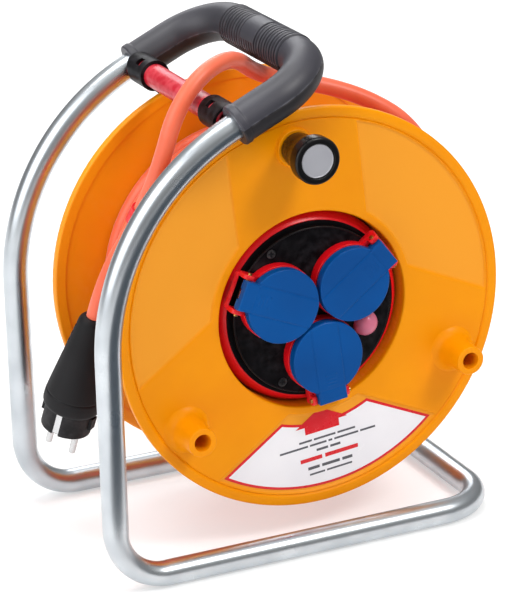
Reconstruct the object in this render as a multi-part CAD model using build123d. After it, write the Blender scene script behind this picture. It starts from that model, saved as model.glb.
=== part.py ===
from build123d import *
import math
import os

# Extension cord reel, in millimetres. X runs along the floor runs of the frame, Y along the drum's
# axle towards the back, Z up. Everything is drawn about the middle of the frame, and write() moves it
# so that the origin is on the floor below the middle of the whole outline, drum included.

# ---- driving dimensions: frame -------------------------------------------------------------
tube_r = 9.0                # frame tube, outer radius
tube_wall = 1.5
frame_half_length = 145.5   # from the middle to the centre line of the legs and of the cross tube
frame_half_width = 88.0     # centre lines of the two side loops
bend_r = 38.0               # bend radius at the floor corners and under the grip
drum_x = 17.5               # drum axle, along X
drum_z = 170.0              # drum axle, above the floor
side_arc_r = drum_x + frame_half_length   # the side loops curve round the drum axle
arm_angle = 25.0            # slope of the arms under the grip, degrees
arm_length = 72.7           # from the end of the side arc to the middle of the grip bar

# ---- driving dimensions: drum, given from the axle and, along it, from the middle of the drum ----
flange_r = 145.0
flange_front = 62.0         # front face of the front flange, towards the user
flange_in = 57.5            # inner faces of both flanges
opening_r = 71.0            # opening in the front flange and bore of the barrel
barrel_r = 74.0
winding_r = 111.0           # outside of the wound cable
boss_circle_r = 120.0       # crank knob, two feet and the plug hole
crank_angle = 95.9          # crank knob, seen from the front, anticlockwise from +X
band_half = 49.0            # half width of the raised bands through the bosses
panel_depth = 1.5           # how far the three panels between the bands are sunk
foot_tip = 89.0             # outer end of the two hollow feet
knob_tip = 100.0            # outer end of the crank knob
axle_r = 6.0
axle_end = 100.0            # rear end of the axle, behind the frame
running_gap = 0.06          # radial clearance of everything that turns on a pin
outline_shift = 4.0         # the drum reaches 8 mm further out than the frame's other end does

# ---- driving dimensions: socket insert -------------------------------------------------------
insert_r = 69.8
plate_r = 60.3
socket_circle_r = 31.5
socket_angles = {"right": 37.0, "left": 157.0, "bottom": 277.0}
well_r = 19.5               # plug well, inside
well_depth = 17.5
well_rim = 70.0             # mouth of the wells
lid_r = 26.5
lid_top = 78.0
hinge_out = 30.5            # hinge pin, outwards from the middle of its socket
hinge_up = 71.5             # hinge pin, along the axle
hinge_pin_r = 1.5
contact_spacing = 19.0      # between the two pins of the plug
button_angle = -22.5
button_circle_r = 43.5
button_travel = 2.0

# ---- driving dimensions: cable --------------------------------------------------------------
cable_r = 6.0
plug_top = (-134.5, 8.0, -4.0)      # from the drum axle: where the cable enters the plug
plug_length = 91.8                  # from there to its face, in line with the end of the cable
plug_pin_r = 2.4
plug_pin_root_r = 1.9               # thinner where the pins are moulded in
plug_pin_neck = 0.5                 # how far the thin root shows at the face
plug_pin_length = 19.0

os.makedirs("parts", exist_ok=True)

axle_point = Vector(drum_x, 0, drum_z)
reel = Plane(origin=axle_point, x_dir=(1, 0, 0), z_dir=(0, -1, 0)).location


def disc(radius, low, high, at=(0, 0)):
    """A cylinder along the axle, from low to high."""
    return Pos(at[0], at[1], low) * Cylinder(
        radius, high - low, align=(Align.CENTER, Align.CENTER, Align.MIN))


def ring(outer, inner, low, high, at=(0, 0)):
    return disc(outer, low, high, at) - disc(inner, low - 1, high + 1, at)


def block(size, centre):
    return Pos(*centre) * Box(*size)


def polar(radius, angle):
    return (radius * math.cos(math.radians(angle)), radius * math.sin(math.radians(angle)))


def rounded(shape, radius, pick):
    """Fillet the edges that pick() chooses."""
    return fillet(pick(shape.edges()), radius)


def write(name, shape, place=None):
    if place is not None:
        shape = place * shape
    shape = Pos(-outline_shift, 0, 0) * shape
    solids = shape.solids()
    shape = solids[0] if len(solids) == 1 else Compound(children=list(solids))
    export_step(shape, f"parts/{name}.step")


def sweep_tube(path, outer, inner=None):
    """A round tube or rod along a path."""
    start = Plane(origin=path @ 0, z_dir=path % 0)
    section = start * Circle(outer)
    if inner:
        section = section - start * Circle(inner)
    return sweep(section, path=path)


# ---- frame tubes ---------------------------------------------------------------------------
corner_x = frame_half_length - bend_r
base_path = FilletPolyline(
    (-corner_x, -frame_half_width, tube_r), (frame_half_length, -frame_half_width, tube_r),
    (frame_half_length, frame_half_width, tube_r), (-corner_x, frame_half_width, tube_r),
    radius=bend_r)
frame_base = sweep_tube(base_path, tube_r, tube_r - tube_wall)
vent_hole = Pos(frame_half_length, -frame_half_width + bend_r + 6, 2 * tube_r) * Cylinder(1.5, 8)
frame_base = frame_base - vent_hole
write("frame_base", frame_base)

arc_end_angle = 90 + arm_angle
arm_dir = Vector(math.cos(math.radians(arm_angle)), 0, math.sin(math.radians(arm_angle)))
arc_x, arc_z = polar(side_arc_r, arc_end_angle)
arc_end = axle_point + Vector(arc_x, 0, arc_z)
grip_plane = Plane(origin=arc_end, x_dir=arm_dir, z_dir=(-arm_dir.Z, 0, arm_dir.X))


def upright_path(side):
    """One side loop, from the floor corner to the middle of the grip."""
    y = side * frame_half_width
    offset = Vector(0, y, 0)
    corner_centre = Vector(-corner_x, y, tube_r + bend_r)
    diagonal = bend_r * math.sqrt(0.5)
    arc_mid_x, arc_mid_z = polar(side_arc_r, (180 + arc_end_angle) / 2)
    arm_end = arc_end + offset + arm_dir * (arm_length - bend_r)
    bar_start = arc_end + arm_dir * arm_length + Vector(0, side * (frame_half_width - bend_r), 0)
    bar_middle = arc_end + arm_dir * arm_length
    return Wire([
        *ThreePointArc(corner_centre + Vector(0, 0, -bend_r),
                       corner_centre + Vector(-diagonal, 0, -diagonal),
                       corner_centre + Vector(-bend_r, 0, 0)).edges(),
        *Line(corner_centre + Vector(-bend_r, 0, 0), axle_point + Vector(-side_arc_r, y, 0)).edges(),
        *ThreePointArc(axle_point + Vector(-side_arc_r, y, 0),
                       axle_point + Vector(arc_mid_x, y, arc_mid_z), arc_end + offset).edges(),
        *Line(arc_end + offset, arm_end).edges(),
        *TangentArc(arm_end, bar_start, tangent=arm_dir).edges(),
        *Line(bar_start, bar_middle).edges(),
    ])


def upright(side):
    path = upright_path(side)
    start = Plane(origin=path @ 0, z_dir=(-1, 0, 0))
    section = start * (Circle(tube_r) - Circle(tube_r - tube_wall))
    return sweep(section, path=path)


write("frame_upright_front", upright(-1))
write("frame_upright_rear", upright(1))

joiner_length = 60.0
tube_joiner = Pos(arc_end + arm_dir * arm_length) * Rot(90, 0, 0) * Cylinder(
    tube_r - tube_wall - 0.05, joiner_length)
write("tube_joiner", tube_joiner)

# ---- rear upright that carries the axle ------------------------------------------------------
upright_half_x = 12.5
upright_front_y = 82.0
upright_rear_y = 94.0
upright_depth = upright_rear_y - upright_front_y
upright_mid_y = (upright_front_y + upright_rear_y) / 2
upright_low = tube_r + 3.0


def upright_bar(half_x, depth, low):
    """The flat steel tube, round at its top."""
    height = drum_z - low
    body = block((2 * half_x, depth, height), (drum_x, upright_mid_y, low + height / 2))
    top = Pos(drum_x, upright_mid_y, drum_z) * Rot(90, 0, 0) * Cylinder(half_x, depth)
    return body + top


rear_upright = upright_bar(upright_half_x, upright_depth, upright_low)
rear_upright = rear_upright - upright_bar(
    upright_half_x - tube_wall, upright_depth - 2 * tube_wall, upright_low - 1)
axle_hole = Pos(drum_x, upright_mid_y, drum_z) * Rot(90, 0, 0) * Cylinder(axle_r + 0.1, 40)
rear_run = Pos(drum_x, frame_half_width, tube_r) * Rot(0, 90, 0) * Cylinder(tube_r, 60)
rear_upright = rear_upright - axle_hole - rear_run
write("rear_upright", rear_upright)

# ---- grip: two shells round the tube ---------------------------------------------------------
grip_r = 13.8
grip_bore = tube_r + 0.1
rib_count = 24
rib_pitch = 4.0
rib_width = 2.4
rib_r = 14.8
collar_r = 14.6
grip_start = 2.0
seam_gap = 0.1
grip_path = FilletPolyline(
    (grip_start, -frame_half_width, 0), (arm_length, -frame_half_width, 0),
    (arm_length, frame_half_width, 0), (grip_start, frame_half_width, 0), radius=bend_r)


def grip_shell(side):
    """Half of the grip: side 1 lies above the seam and -1 below it."""
    start = Plane(origin=grip_path @ 0, x_dir=(0, 1, 0), z_dir=(1, 0, 0))
    half_plane = Pos(0, side * (seam_gap + grip_r)) * Rectangle(4 * grip_r, 2 * grip_r)
    section = (Circle(grip_r) - Circle(grip_bore)) & half_plane
    shell = sweep(start * section, path=grip_path)
    half_space = block((60, 220, 40), (arm_length, 0, side * (20 + seam_gap)))
    first = -rib_pitch * (rib_count - 1) / 2
    for index in range(rib_count):
        rib = Pos(arm_length, first + index * rib_pitch, 0) * Rot(90, 0, 0) * (
            Cylinder(rib_r, rib_width) - Cylinder(grip_r - 1, rib_width + 1))
        shell = shell + (rib & half_space)
    for side_y in (-1, 1):
        collar = Pos(grip_start + 3, side_y * frame_half_width, 0) * Rot(0, 90, 0) * (
            Cylinder(collar_r, 6) - Cylinder(grip_bore, 7))
        shell = shell + (collar & block((60, 300, 40), (0, 0, side * (20 + seam_gap))))
    return shell


write("grip_upper_shell", grip_shell(1), grip_plane.location)
write("grip_lower_shell", grip_shell(-1), grip_plane.location)

# ---- cross strut and its clips ---------------------------------------------------------------
strut_along = 3.6           # middle of the strut, along the arms from the end of the side arc
strut_r = 8.5
strut_wall = 2.0
strut_flat = 5.0            # the flat underside, below the middle
strut_half = 73.2
clip_r = 11.0
clip_length = 28.0
clip_tongue = 38.0
window = 6.0


def strut_section(radius, flat, half):
    rod = Rot(90, 0, 0) * Cylinder(radius, 2 * half)
    return rod & block((4 * radius, 2 * half + 1, 2 * radius), (0, 0, radius - flat))


def collar_space(side):
    """Room for the collar of the grip, which both the strut and its clips butt against."""
    return Pos(-strut_along, side * frame_half_width, 0) * Rot(0, 90, 0) * Cylinder(collar_r + 0.1, 60)


cross_strut = strut_section(strut_r, strut_flat, strut_half + 4) - strut_section(
    strut_r - strut_wall, strut_flat - strut_wall, strut_half + 5)
cross_strut = cross_strut - collar_space(-1) - collar_space(1)
write("cross_strut", cross_strut, grip_plane.location * Pos(strut_along, 0, 0))


def strut_clip(side):
    """A black sleeve that holds one end of the strut against the tube."""
    outer = Rot(90, 0, 0) * Cylinder(clip_r, clip_length)
    inner = strut_section(strut_r + 0.05, strut_flat + 0.05, clip_length)
    middle = side * (strut_half + 4 - clip_length / 2)
    sleeve = Pos(0, middle, 0) * (outer - inner)
    tongue_shift = side * (clip_length - clip_tongue) / 2
    tongue = block((12, clip_tongue, 3), (0, middle + tongue_shift, -strut_flat - 0.05 - 1.5))
    opening = block((window, window, 12), (-2, middle - side * 3, clip_r - 2))
    return sleeve + tongue - opening - collar_space(side)


write("strut_clip_front", strut_clip(-1), grip_plane.location * Pos(strut_along, 0, 0))
write("strut_clip_rear", strut_clip(1), grip_plane.location * Pos(strut_along, 0, 0))

# ---- drum: front flange, barrel, rear flange -------------------------------------------------
rim_inner = 137.0
crank_at = polar(boss_circle_r, crank_angle)
foot_points = [polar(boss_circle_r, crank_angle + turn) for turn in (120, 240)]
foot_r = 10.5
foot_bore = 6.0
foot_bore_depth = 22.0
plug_hole_at = (-112.0, -34.0)
plug_hole_r = 15.0
crank_pin_r = 4.0


def flange_rim(low, high):
    rim = ring(flange_r, rim_inner, low, high)
    return rounded(rim, 1.8, lambda edges: edges.filter_by(
        lambda edge: abs(edge.radius - flange_r) < 0.1 if edge.geom_type == GeomType.CIRCLE else False))


def bands(low, high):
    """The three parallel-sided raised bands through the bosses."""
    shape = None
    for turn in (0, 120, 240):
        strip = Rot(0, 0, crank_angle + turn) * block(
            (rim_inner + 1, 2 * band_half, high - low), ((rim_inner + 1) / 2, 0, (high + low) / 2))
        shape = strip if shape is None else shape + strip
    shape = shape & disc(rim_inner + 0.5, low - 1, high + 1)
    return shape + disc(opening_r + 6, low, high)


front_flange = disc(rim_inner + 1, flange_in, flange_front - panel_depth)
front_flange = front_flange + bands(flange_in, flange_front) + flange_rim(flange_in - 1.0, flange_front + 1.0)
front_flange = front_flange + disc(13.0, flange_front - 1, flange_front + 3.5, crank_at)
front_flange = front_flange - disc(opening_r, flange_in - 5, flange_front + 5)
front_flange = front_flange - disc(crank_pin_r, flange_in - 5, flange_front + 5, crank_at)
write("front_flange", front_flange, reel)

# The two feet belong to the flange's moulding. They are nodes of their own, face to face with it.
for side, foot in zip(("left", "right"), foot_points):
    post = Pos(foot[0], foot[1], flange_front) * Cone(
        foot_r + 4.5, foot_r, 9, align=(Align.CENTER, Align.CENTER, Align.MIN))
    post = post + disc(foot_r, flange_front, foot_tip, foot)
    post = post - disc(foot_bore, foot_tip - foot_bore_depth, foot_tip + 1, foot)
    write(f"flange_foot_{side}", post, reel)

cable_entry_angle = -60.0
screw_circle_r = 68.0
screw_count = 6
screw_post_r = 4.5
post_low = -flange_in
post_high = -flange_in + 24.0
drum_barrel = ring(barrel_r, opening_r, -flange_in, flange_in)
for index in range(screw_count):
    post = disc(screw_post_r, post_low, post_high, polar(screw_circle_r, 60 * index))
    drum_barrel = drum_barrel + post - disc(1.6, post_low - 1, post_high - 4, polar(screw_circle_r, 60 * index))
entry = Rot(0, 0, cable_entry_angle) * Pos((barrel_r + opening_r) / 2, 0, -flange_in + 14) * Rot(
    0, 90, 0) * Cylinder(cable_r + 1, 14)
drum_barrel = drum_barrel - entry
write("drum_barrel", drum_barrel, reel)

hub_r = 14.0
hub_bore = 9.0
hub_back = -70.0
hub_front = -26.0
rib_height = 5.0
rear_flange = disc(rim_inner + 1, -flange_front + panel_depth, -flange_in)
rear_flange = rear_flange + flange_rim(-flange_front - 1.0, -flange_in + 1.0)
rear_flange = rear_flange + disc(hub_r, hub_back, hub_front)
rear_flange = rear_flange + ring(barrel_r, barrel_r - 3, -flange_front - 2, -flange_in)
for index in range(6):
    spoke = Rot(0, 0, 30 + 60 * index) * block(
        (rim_inner - hub_r, 3, rib_height), ((rim_inner + hub_r) / 2, 0, -flange_in - rib_height / 2))
    rear_flange = rear_flange + spoke
rear_flange = rear_flange + ring(plug_hole_r + 2.5, plug_hole_r, -flange_front - 2, -flange_in, plug_hole_at)
rear_flange = rear_flange - disc(plug_hole_r, -flange_front - 5, -flange_in + 5, plug_hole_at)
rear_flange = rear_flange - disc(hub_bore, hub_back - 1, hub_front + 1)
for index in range(screw_count):
    at = polar(screw_circle_r, 60 * index)
    rear_flange = rear_flange - disc(2.1, -flange_front - 5, -flange_in + 1, at)
write("rear_flange", rear_flange, reel)

screw_heads = -flange_front + panel_depth
drum_screws = None
for index in range(screw_count):
    at = polar(screw_circle_r, 60 * index)
    screw = disc(1.55, screw_heads, post_high - 8, at) + disc(2.9, screw_heads - 2.6, screw_heads, at)
    screw = screw - block((4.0, 0.9, 1.2), (at[0], at[1], screw_heads - 2.4)) - block(
        (0.9, 4.0, 1.2), (at[0], at[1], screw_heads - 2.4))
    drum_screws = screw if drum_screws is None else drum_screws + screw
write("drum_screws", drum_screws, reel)

bush_length = 14.0
bush_bore = axle_r + running_gap
rear_bush = ring(hub_bore, bush_bore, hub_back, hub_back + bush_length) + ring(
    11.0, bush_bore, hub_back - 1.5, hub_back)
front_bush = ring(hub_bore, bush_bore, hub_front - bush_length, hub_front) + ring(
    11.0, bush_bore, hub_front, hub_front + 1.5)
write("hub_bush_rear", rear_bush, reel)
write("hub_bush_front", front_bush, reel)

label_inner_r = 85.0
label_outer_r = 133.5
label_angle = crank_angle - 180
label_half = 51.0
label = ring(label_outer_r, label_inner_r, flange_front - panel_depth, flange_front - panel_depth + 0.3)
for turn in (-60, 60):
    label = label - Rot(0, 0, label_angle + turn) * block((170, 2 * label_half, 10), (85, 0, flange_front))
label = label & Rot(0, 0, label_angle) * block((130, 230, 10), (135, 0, flange_front))
write("label", label, reel)

# ---- slip rings and brushes ------------------------------------------------------------------
slip_disc_r = 52.0
slip_back = -35.0
slip_front = -30.0
slip_ring_radii = (20.0, 31.0, 42.0)
slip_ring_width = 6.0
slip_ring_height = 1.5
slip_disc = ring(slip_disc_r, hub_r, slip_back, slip_front)
write("slip_ring_disc", slip_disc, reel)
slip_rings = None
for radius in slip_ring_radii:
    track = ring(radius + slip_ring_width, radius, slip_front, slip_front + slip_ring_height)
    slip_rings = track if slip_rings is None else slip_rings + track
write("slip_rings", slip_rings, reel)

carrier_wall = 3.0
carrier_floor = -10.0
carrier_inside = -6.0
carrier_hub_r = 14.0
brush_gap = 0.3
brush_tip = slip_front + slip_ring_height + brush_gap
brushes = None
holder_low = carrier_floor - 12
holder = block((30, 9, 12), (33, 0, (holder_low + carrier_floor) / 2))
for radius in slip_ring_radii:
    middle = radius + slip_ring_width / 2
    holder = holder - block((4.2, 4.2, 10), (middle, 0, holder_low + 4))
    brush = block((4.0, 4.0, 8 + holder_low - brush_tip), (middle, 0, (holder_low + 8 + brush_tip) / 2))
    brushes = brush if brushes is None else brushes + brush
write("brush_holder", holder, reel)
write("brushes", brushes, reel)

# ---- socket insert: carrier cup and plate ----------------------------------------------------
lip_inner = 63.5
lip_front = 57.0
carrier = ring(insert_r, insert_r - carrier_wall, carrier_floor, lip_front)
carrier = carrier + disc(insert_r, carrier_floor, carrier_inside)
carrier = carrier + ring(insert_r, lip_inner, lip_front - 3, lip_front)
carrier = carrier + disc(carrier_hub_r, carrier_floor - 10, carrier_inside + 2)
carrier = carrier - disc(axle_r, carrier_floor - 20, carrier_inside + 20)
write("socket_carrier", carrier, reel)

plate_low = 55.0
plate_step = 58.0
plate_top = 62.0
well_outer = 23.8
button_at = polar(button_circle_r, button_angle)
cutout_neck = 6.0
plate_screw_r = 55.0
plate_screw_angles = (124.0, 244.0, 4.0)
plate = disc(lip_inner - 0.1, plate_low, plate_step) + disc(plate_r, plate_low, plate_top)
plate = rounded(plate, 0.8, lambda edges: [
    edge for edge in edges if edge.geom_type == GeomType.CIRCLE and abs(edge.radius - plate_r) < 0.01
    and edge.center().Z > plate_top - 0.1])
for angle in socket_angles.values():
    plate = plate - disc(well_outer + 0.1, plate_low - 1, plate_top + 1, polar(socket_circle_r, angle))
plate = plate - disc(cutout_neck + 0.1, plate_low - 1, plate_top + 1, button_at)
for angle in plate_screw_angles:
    at = polar(plate_screw_r, angle)
    plate = plate - disc(1.6, plate_low - 1, plate_top + 1, at) - disc(3.6, plate_top - 2, plate_top + 1, at)
write("socket_plate", plate, reel)

plate_screws = None
for angle in plate_screw_angles:
    at = polar(plate_screw_r, angle)
    screw = disc(1.55, plate_low - 6, plate_top - 1.9, at) + disc(3.2, plate_top - 1.9, plate_top - 0.2, at)
    screw = screw - block((4.4, 0.9, 1.0), (at[0], at[1], plate_top - 0.4)) - block(
        (0.9, 4.4, 1.0), (at[0], at[1], plate_top - 0.4))
    plate_screws = screw if plate_screws is None else plate_screws + screw
write("plate_screws", plate_screws, reel)

# ---- sockets: everything is given with the hinge pointing along +X from the socket's middle ----
well_floor = well_rim - well_depth
tab_half = 10.5
lug_width = 4.5
knuckle_r = 3.0
spring_half = 3.5
contact_hole_r = 2.8
clip_slot = 4.4


def at_socket(angle):
    x, y = polar(socket_circle_r, angle)
    return reel * Pos(x, y, 0) * Rot(0, 0, angle)


def cross_rod(radius, half, along=hinge_out, up=hinge_up, shift=0.0):
    """A rod along the hinge line."""
    return Pos(along, shift, up) * Rot(90, 0, 0) * Cylinder(radius, 2 * half)


def socket_well():
    well = disc(well_outer, well_floor - 4, well_rim) - disc(well_r, well_floor, well_rim + 1)
    for side in (-1, 1):
        contact_hole = disc(contact_hole_r, well_floor - 5, well_floor + 1, (side * contact_spacing / 2, 0))
        slot = block((clip_slot, 2.6, well_depth), (0, side * (well_r + 1.0), well_floor + well_depth / 2))
        well = well - contact_hole - slot
    return well


def earth_clips():
    """Two spring strips that lie in the slots at the sides of the well."""
    clips = None
    for side in (-1, 1):
        strip = block((4.0, 1.0, well_depth - 2), (0, side * (well_r + 1.0), well_floor + well_depth / 2))
        clips = strip if clips is None else clips + strip
    return clips


def contact_sleeves():
    sleeves = None
    for side in (-1, 1):
        at = (side * contact_spacing / 2, 0)
        sleeve = ring(3.6, 2.5, well_floor - 19, well_floor - 4, at)
        sleeves = sleeve if sleeves is None else sleeves + sleeve
    return sleeves


def socket_collar():
    collar = ring(lid_r + 0.5, well_outer + 0.2, plate_top, well_rim - 0.3)
    pad = block((14, 2 * (tab_half + 0.5 + lug_width), 3.0), (27, 0, plate_top + 1.5))
    collar = collar + (pad - disc(well_outer + 0.2, plate_top - 1, well_rim + 1))
    for side in (-1, 1):
        middle = side * (tab_half + 0.5 + lug_width / 2)
        lug = block((14, lug_width, hinge_up - plate_top), (26, middle, (hinge_up + plate_top) / 2))
        lug = lug + block((3.5, lug_width, hinge_up - plate_top), (31.75, middle, (hinge_up + plate_top) / 2))
        lug = lug + cross_rod(knuckle_r, lug_width / 2, shift=middle)
        lug = lug - disc(well_outer + 0.2, plate_top - 1, well_rim) - disc(lid_r + 0.4, well_rim - 0.3, lid_top)
        collar = collar + lug
    return collar - cross_rod(hinge_pin_r, 40)


def socket_lid():
    """The hinged cover, closed."""
    lid = disc(lid_r, well_rim + 0.3, lid_top)
    lid = rounded(lid, 1.5, lambda edges: edges.group_by(Axis.Z)[-1])
    lid = lid - disc(lid_r - 1.8, well_rim - 1, lid_top - 2.2)
    tab_low = hinge_up + 0.5
    tab = block((15.5, 2 * tab_half, lid_top - 0.6 - tab_low), (hinge_out + 3 - 7.75, 0, (lid_top - 0.6 + tab_low) / 2))
    tab = tab - disc(lid_r - 1.8, well_rim - 1, lid_top - 2.2)
    lid = lid + tab
    for side in (-1, 1):
        half = (tab_half - spring_half - 0.3) / 2
        shift = side * (spring_half + 0.3 + half)
        lid = lid + cross_rod(knuckle_r, half, shift=shift)
    lid = lid - cross_rod(hinge_pin_r + running_gap, 40)
    return lid - cross_rod(knuckle_r + 0.6, spring_half + 0.3)


def lid_gasket():
    return ring(23.4, 20.4, well_rim + 0.3, lid_top - 2.2)


def lid_spring():
    """The coil of the torsion spring, round the hinge pin between the lid's knuckles."""
    wire_r = 0.4
    coil_r = 2.3
    coil = Helix(pitch=1.05, height=5.25, radius=coil_r)
    section = Plane(origin=coil @ 0, z_dir=coil % 0) * Circle(wire_r)
    spring = sweep(section, path=coil, is_frenet=True)
    spring = Pos(hinge_out, 5.25 / 2, hinge_up) * Rot(90, 0, 0) * spring
    return spring


for name, angle in socket_angles.items():
    place = at_socket(angle)
    write(f"socket_well_{name}", socket_well(), place)
    write(f"socket_collar_{name}", socket_collar(), place)
    write(f"lid_{name}", socket_lid(), place)
    write(f"lid_gasket_{name}", lid_gasket(), place)
    write(f"lid_spring_{name}", lid_spring(), place)

places = [at_socket(angle) for angle in socket_angles.values()]
hinge_pin = cross_rod(hinge_pin_r - 0.02, tab_half + 0.5 + lug_width)
write("hinge_pins", Compound(children=[place * hinge_pin for place in places]))
write("earth_clips", Compound(children=[place * s for place in places for s in earth_clips().solids()]))
write("contact_sleeves", Compound(children=[place * s for place in places for s in contact_sleeves().solids()]))

# ---- thermal cut-out with its reset button and clear cap ---------------------------------------
cutout = disc(8.5, plate_low - 26, plate_low) + disc(cutout_neck, plate_low, plate_top, (0, 0))
cutout = cutout - disc(4.0, plate_low - 10, plate_top + 1)
write("thermal_cutout", cutout, reel * Pos(button_at[0], button_at[1], 0))
button = disc(3.7, plate_low - 2, plate_top + 4)
write("reset_button", button, reel * Pos(button_at[0], button_at[1], 0))
cap_r = 9.2
cap_wall = 1.2
cap_height = 8.0


def dome(radius, height, low):
    """A cap cut from a sphere, radius wide at its foot and height high."""
    sphere_r = (radius ** 2 + height ** 2) / (2 * height)
    ball = Pos(0, 0, low + height - sphere_r) * Sphere(sphere_r)
    return ball & disc(radius + 1, low, low + height + 1)


cap = dome(cap_r, cap_height, plate_top) - dome(cap_r - cap_wall, cap_height - cap_wall, plate_top)
write("reset_cap", cap, reel * Pos(button_at[0], button_at[1], 0))

# ---- axle, nuts and spacer ---------------------------------------------------------------------
axle_front = 3.0
nut_height = 6.0
nut_across = 19.0
axle = disc(axle_r - 0.02, -axle_end, axle_front)
write("axle", axle, reel)


def hex_nut(low):
    body = Pos(0, 0, low) * extrude(RegularPolygon(nut_across / 2, 6, major_radius=False), nut_height)
    return body - disc(axle_r, low - 1, low + nut_height + 1)


axle_nuts = hex_nut(-upright_rear_y - nut_height) + hex_nut(carrier_inside + 2)
write("axle_nuts", axle_nuts, reel)
spacer = ring(12.0, axle_r, -upright_front_y, hub_back - 1.5 - 0.3)
write("axle_spacer", spacer, reel)

# ---- crank knob --------------------------------------------------------------------------------
pin_head = 94.0
crank_pin = disc(crank_pin_r - 0.02, flange_in, pin_head, crank_at) + disc(6.5, pin_head, pin_head + 2, crank_at)
crank_pin = crank_pin + disc(7.0, flange_in - 2.5, flange_in, crank_at)
write("crank_pin", crank_pin, reel)

knob_low = flange_front + 3.5 + 0.4
knob_profile = make_face(Polyline(
    (crank_pin_r + running_gap, knob_low), (11.5, knob_low), (12.5, knob_low + 8), (13.0, 80),
    (15.0, 86), (16.5, 90), (16.5, knob_tip - 1.2), (15.3, knob_tip), (11.8, knob_tip),
    (11.8, knob_tip - 3.0), (8.5, knob_tip - 3.0), (8.5, pin_head - 0.3), (crank_pin_r + running_gap, pin_head - 0.3),
    (crank_pin_r + running_gap, knob_low)))
knob = revolve(Plane.XZ * knob_profile, Axis.Z)
write("crank_knob", knob, reel * Pos(crank_at[0], crank_at[1], 0))
knob_cap = disc(11.7, knob_tip - 2.9, knob_tip - 1.2) + disc(8.4, knob_tip - 3.6, knob_tip - 2.9)
write("knob_cap", knob_cap, reel * Pos(crank_at[0], crank_at[1], 0))

# ---- wound cable -------------------------------------------------------------------------------
winding = ring(winding_r, barrel_r + 0.15, -flange_in + 0.1, flange_in - 0.1)
winding = rounded(winding, 3.0, lambda edges: [
    edge for edge in edges if edge.geom_type == GeomType.CIRCLE and abs(edge.radius - winding_r) < 0.01])
write("cable_winding", winding, reel)

# ---- free end of the cable: from the winding, under the grip, over the strut, down to the plug ----
route = [
    (112, -20, -41), (119.5, -19, -5), (124, -15, 35), (122, -9, 75), (103, -7, 106), (78, 1, 124),
    (49, 10, 136), (16, 15, 144), (-8, 10, 154), (-31, -12, 172), (-53, -27, 174.5), (-74, -37, 166),
    (-90, -40, 146), (-98, -37, 117), (-104, -25, 88), (-112, -7, 57), (-129, 0, 25), plug_top]
route = [axle_point + Vector(*point) for point in route]


def corner_radii(points):
    """Each arc is as large as the shorter of its two runs allows."""
    radii = []
    for before, here, after in zip(points, points[1:], points[2:]):
        turn = math.radians((here - before).get_angle(after - here))
        shorter = min((here - before).length, (after - here).length)
        radii.append(0.45 * shorter / math.tan(turn / 2))
    return radii


cable_radii = corner_radii(route)
cable_path = FilletPolyline(*[tuple(point) for point in route], radius=cable_radii)
free_cable = sweep_tube(cable_path, cable_r)
print("cable arcs", [round(radius, 1) for radius in cable_radii])
print("cable length", round(cable_path.length, 1), "section x length",
      round(math.pi * cable_r ** 2 * cable_path.length), "volume", round(free_cable.volume))
write("free_cable", free_cable)

clip_at = 14                # the point of the route after which the red clip sits
clip_dir = (route[clip_at + 1] - route[clip_at]).normalized()
clip_middle = route[clip_at] + (route[clip_at + 1] - route[clip_at]) * 0.5
clip_plane = Plane(origin=clip_middle, z_dir=clip_dir)
cable_clip = clip_plane.location * (Cylinder(cable_r + 1.6, 12) - Cylinder(cable_r + 0.25, 13))
write("cable_clip", cable_clip)

# ---- plug --------------------------------------------------------------------------------------
plug_dir = (route[-1] - route[-2]).normalized()
pins_across = Vector(12.5, -14.3, 0)
pins_across = (pins_across - plug_dir * pins_across.dot(plug_dir)).normalized()
plug_place = Plane(origin=route[-1], x_dir=pins_across, z_dir=plug_dir).location
insert_length = 17.0
insert_r_plug = 18.0
shoulder = plug_length - insert_length
body_profile = make_face(Polyline(
    (0, 0), (8.0, 0), (10.0, 3), (12.5, 16), (17.5, shoulder - 30), (21.0, shoulder - 8),
    (20.0, shoulder), (0, shoulder), (0, 0)))
plug_body = revolve(Plane.XZ * body_profile, Axis.Z)
write("plug_body", plug_body, plug_place)

plug_insert = disc(insert_r_plug, shoulder, plug_length)
for side in (-1, 1):
    plug_insert = plug_insert - block((5.0, 4.0, insert_length + 1), (0, side * insert_r_plug, plug_length - insert_length / 2))
    plug_insert = plug_insert + block((2.6, 7.0, 9.0), (side * (insert_r_plug + 0.6), 0, shoulder + 6.0))
    plug_insert = plug_insert - disc(plug_pin_root_r, shoulder + 4, plug_length + 1, (side * contact_spacing / 2, 0))
write("plug_insert", plug_insert, plug_place)

plug_pins = None
earth_strips = None
for side in (-1, 1):
    at = (side * contact_spacing / 2, 0)
    pin = disc(plug_pin_r - 0.02, plug_length + plug_pin_neck, plug_length + plug_pin_length, at)
    pin = rounded(pin, 1.0, lambda edges: edges.group_by(Axis.Z)[-1])
    pin = pin + disc(plug_pin_root_r - 0.02, shoulder + 4, plug_length + plug_pin_neck, at)
    plug_pins = pin if plug_pins is None else plug_pins + pin
    strip = block((4.6, 1.0, insert_length - 2), (0, side * (insert_r_plug - 1.45), plug_length - insert_length / 2))
    earth_strips = strip if earth_strips is None else earth_strips + strip
write("plug_pins", plug_pins, plug_place)
write("plug_earth_strips", earth_strips, plug_place)
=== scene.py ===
import bpy
import bmesh
import math
import numpy as np
from mathutils import Matrix, Vector


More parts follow.
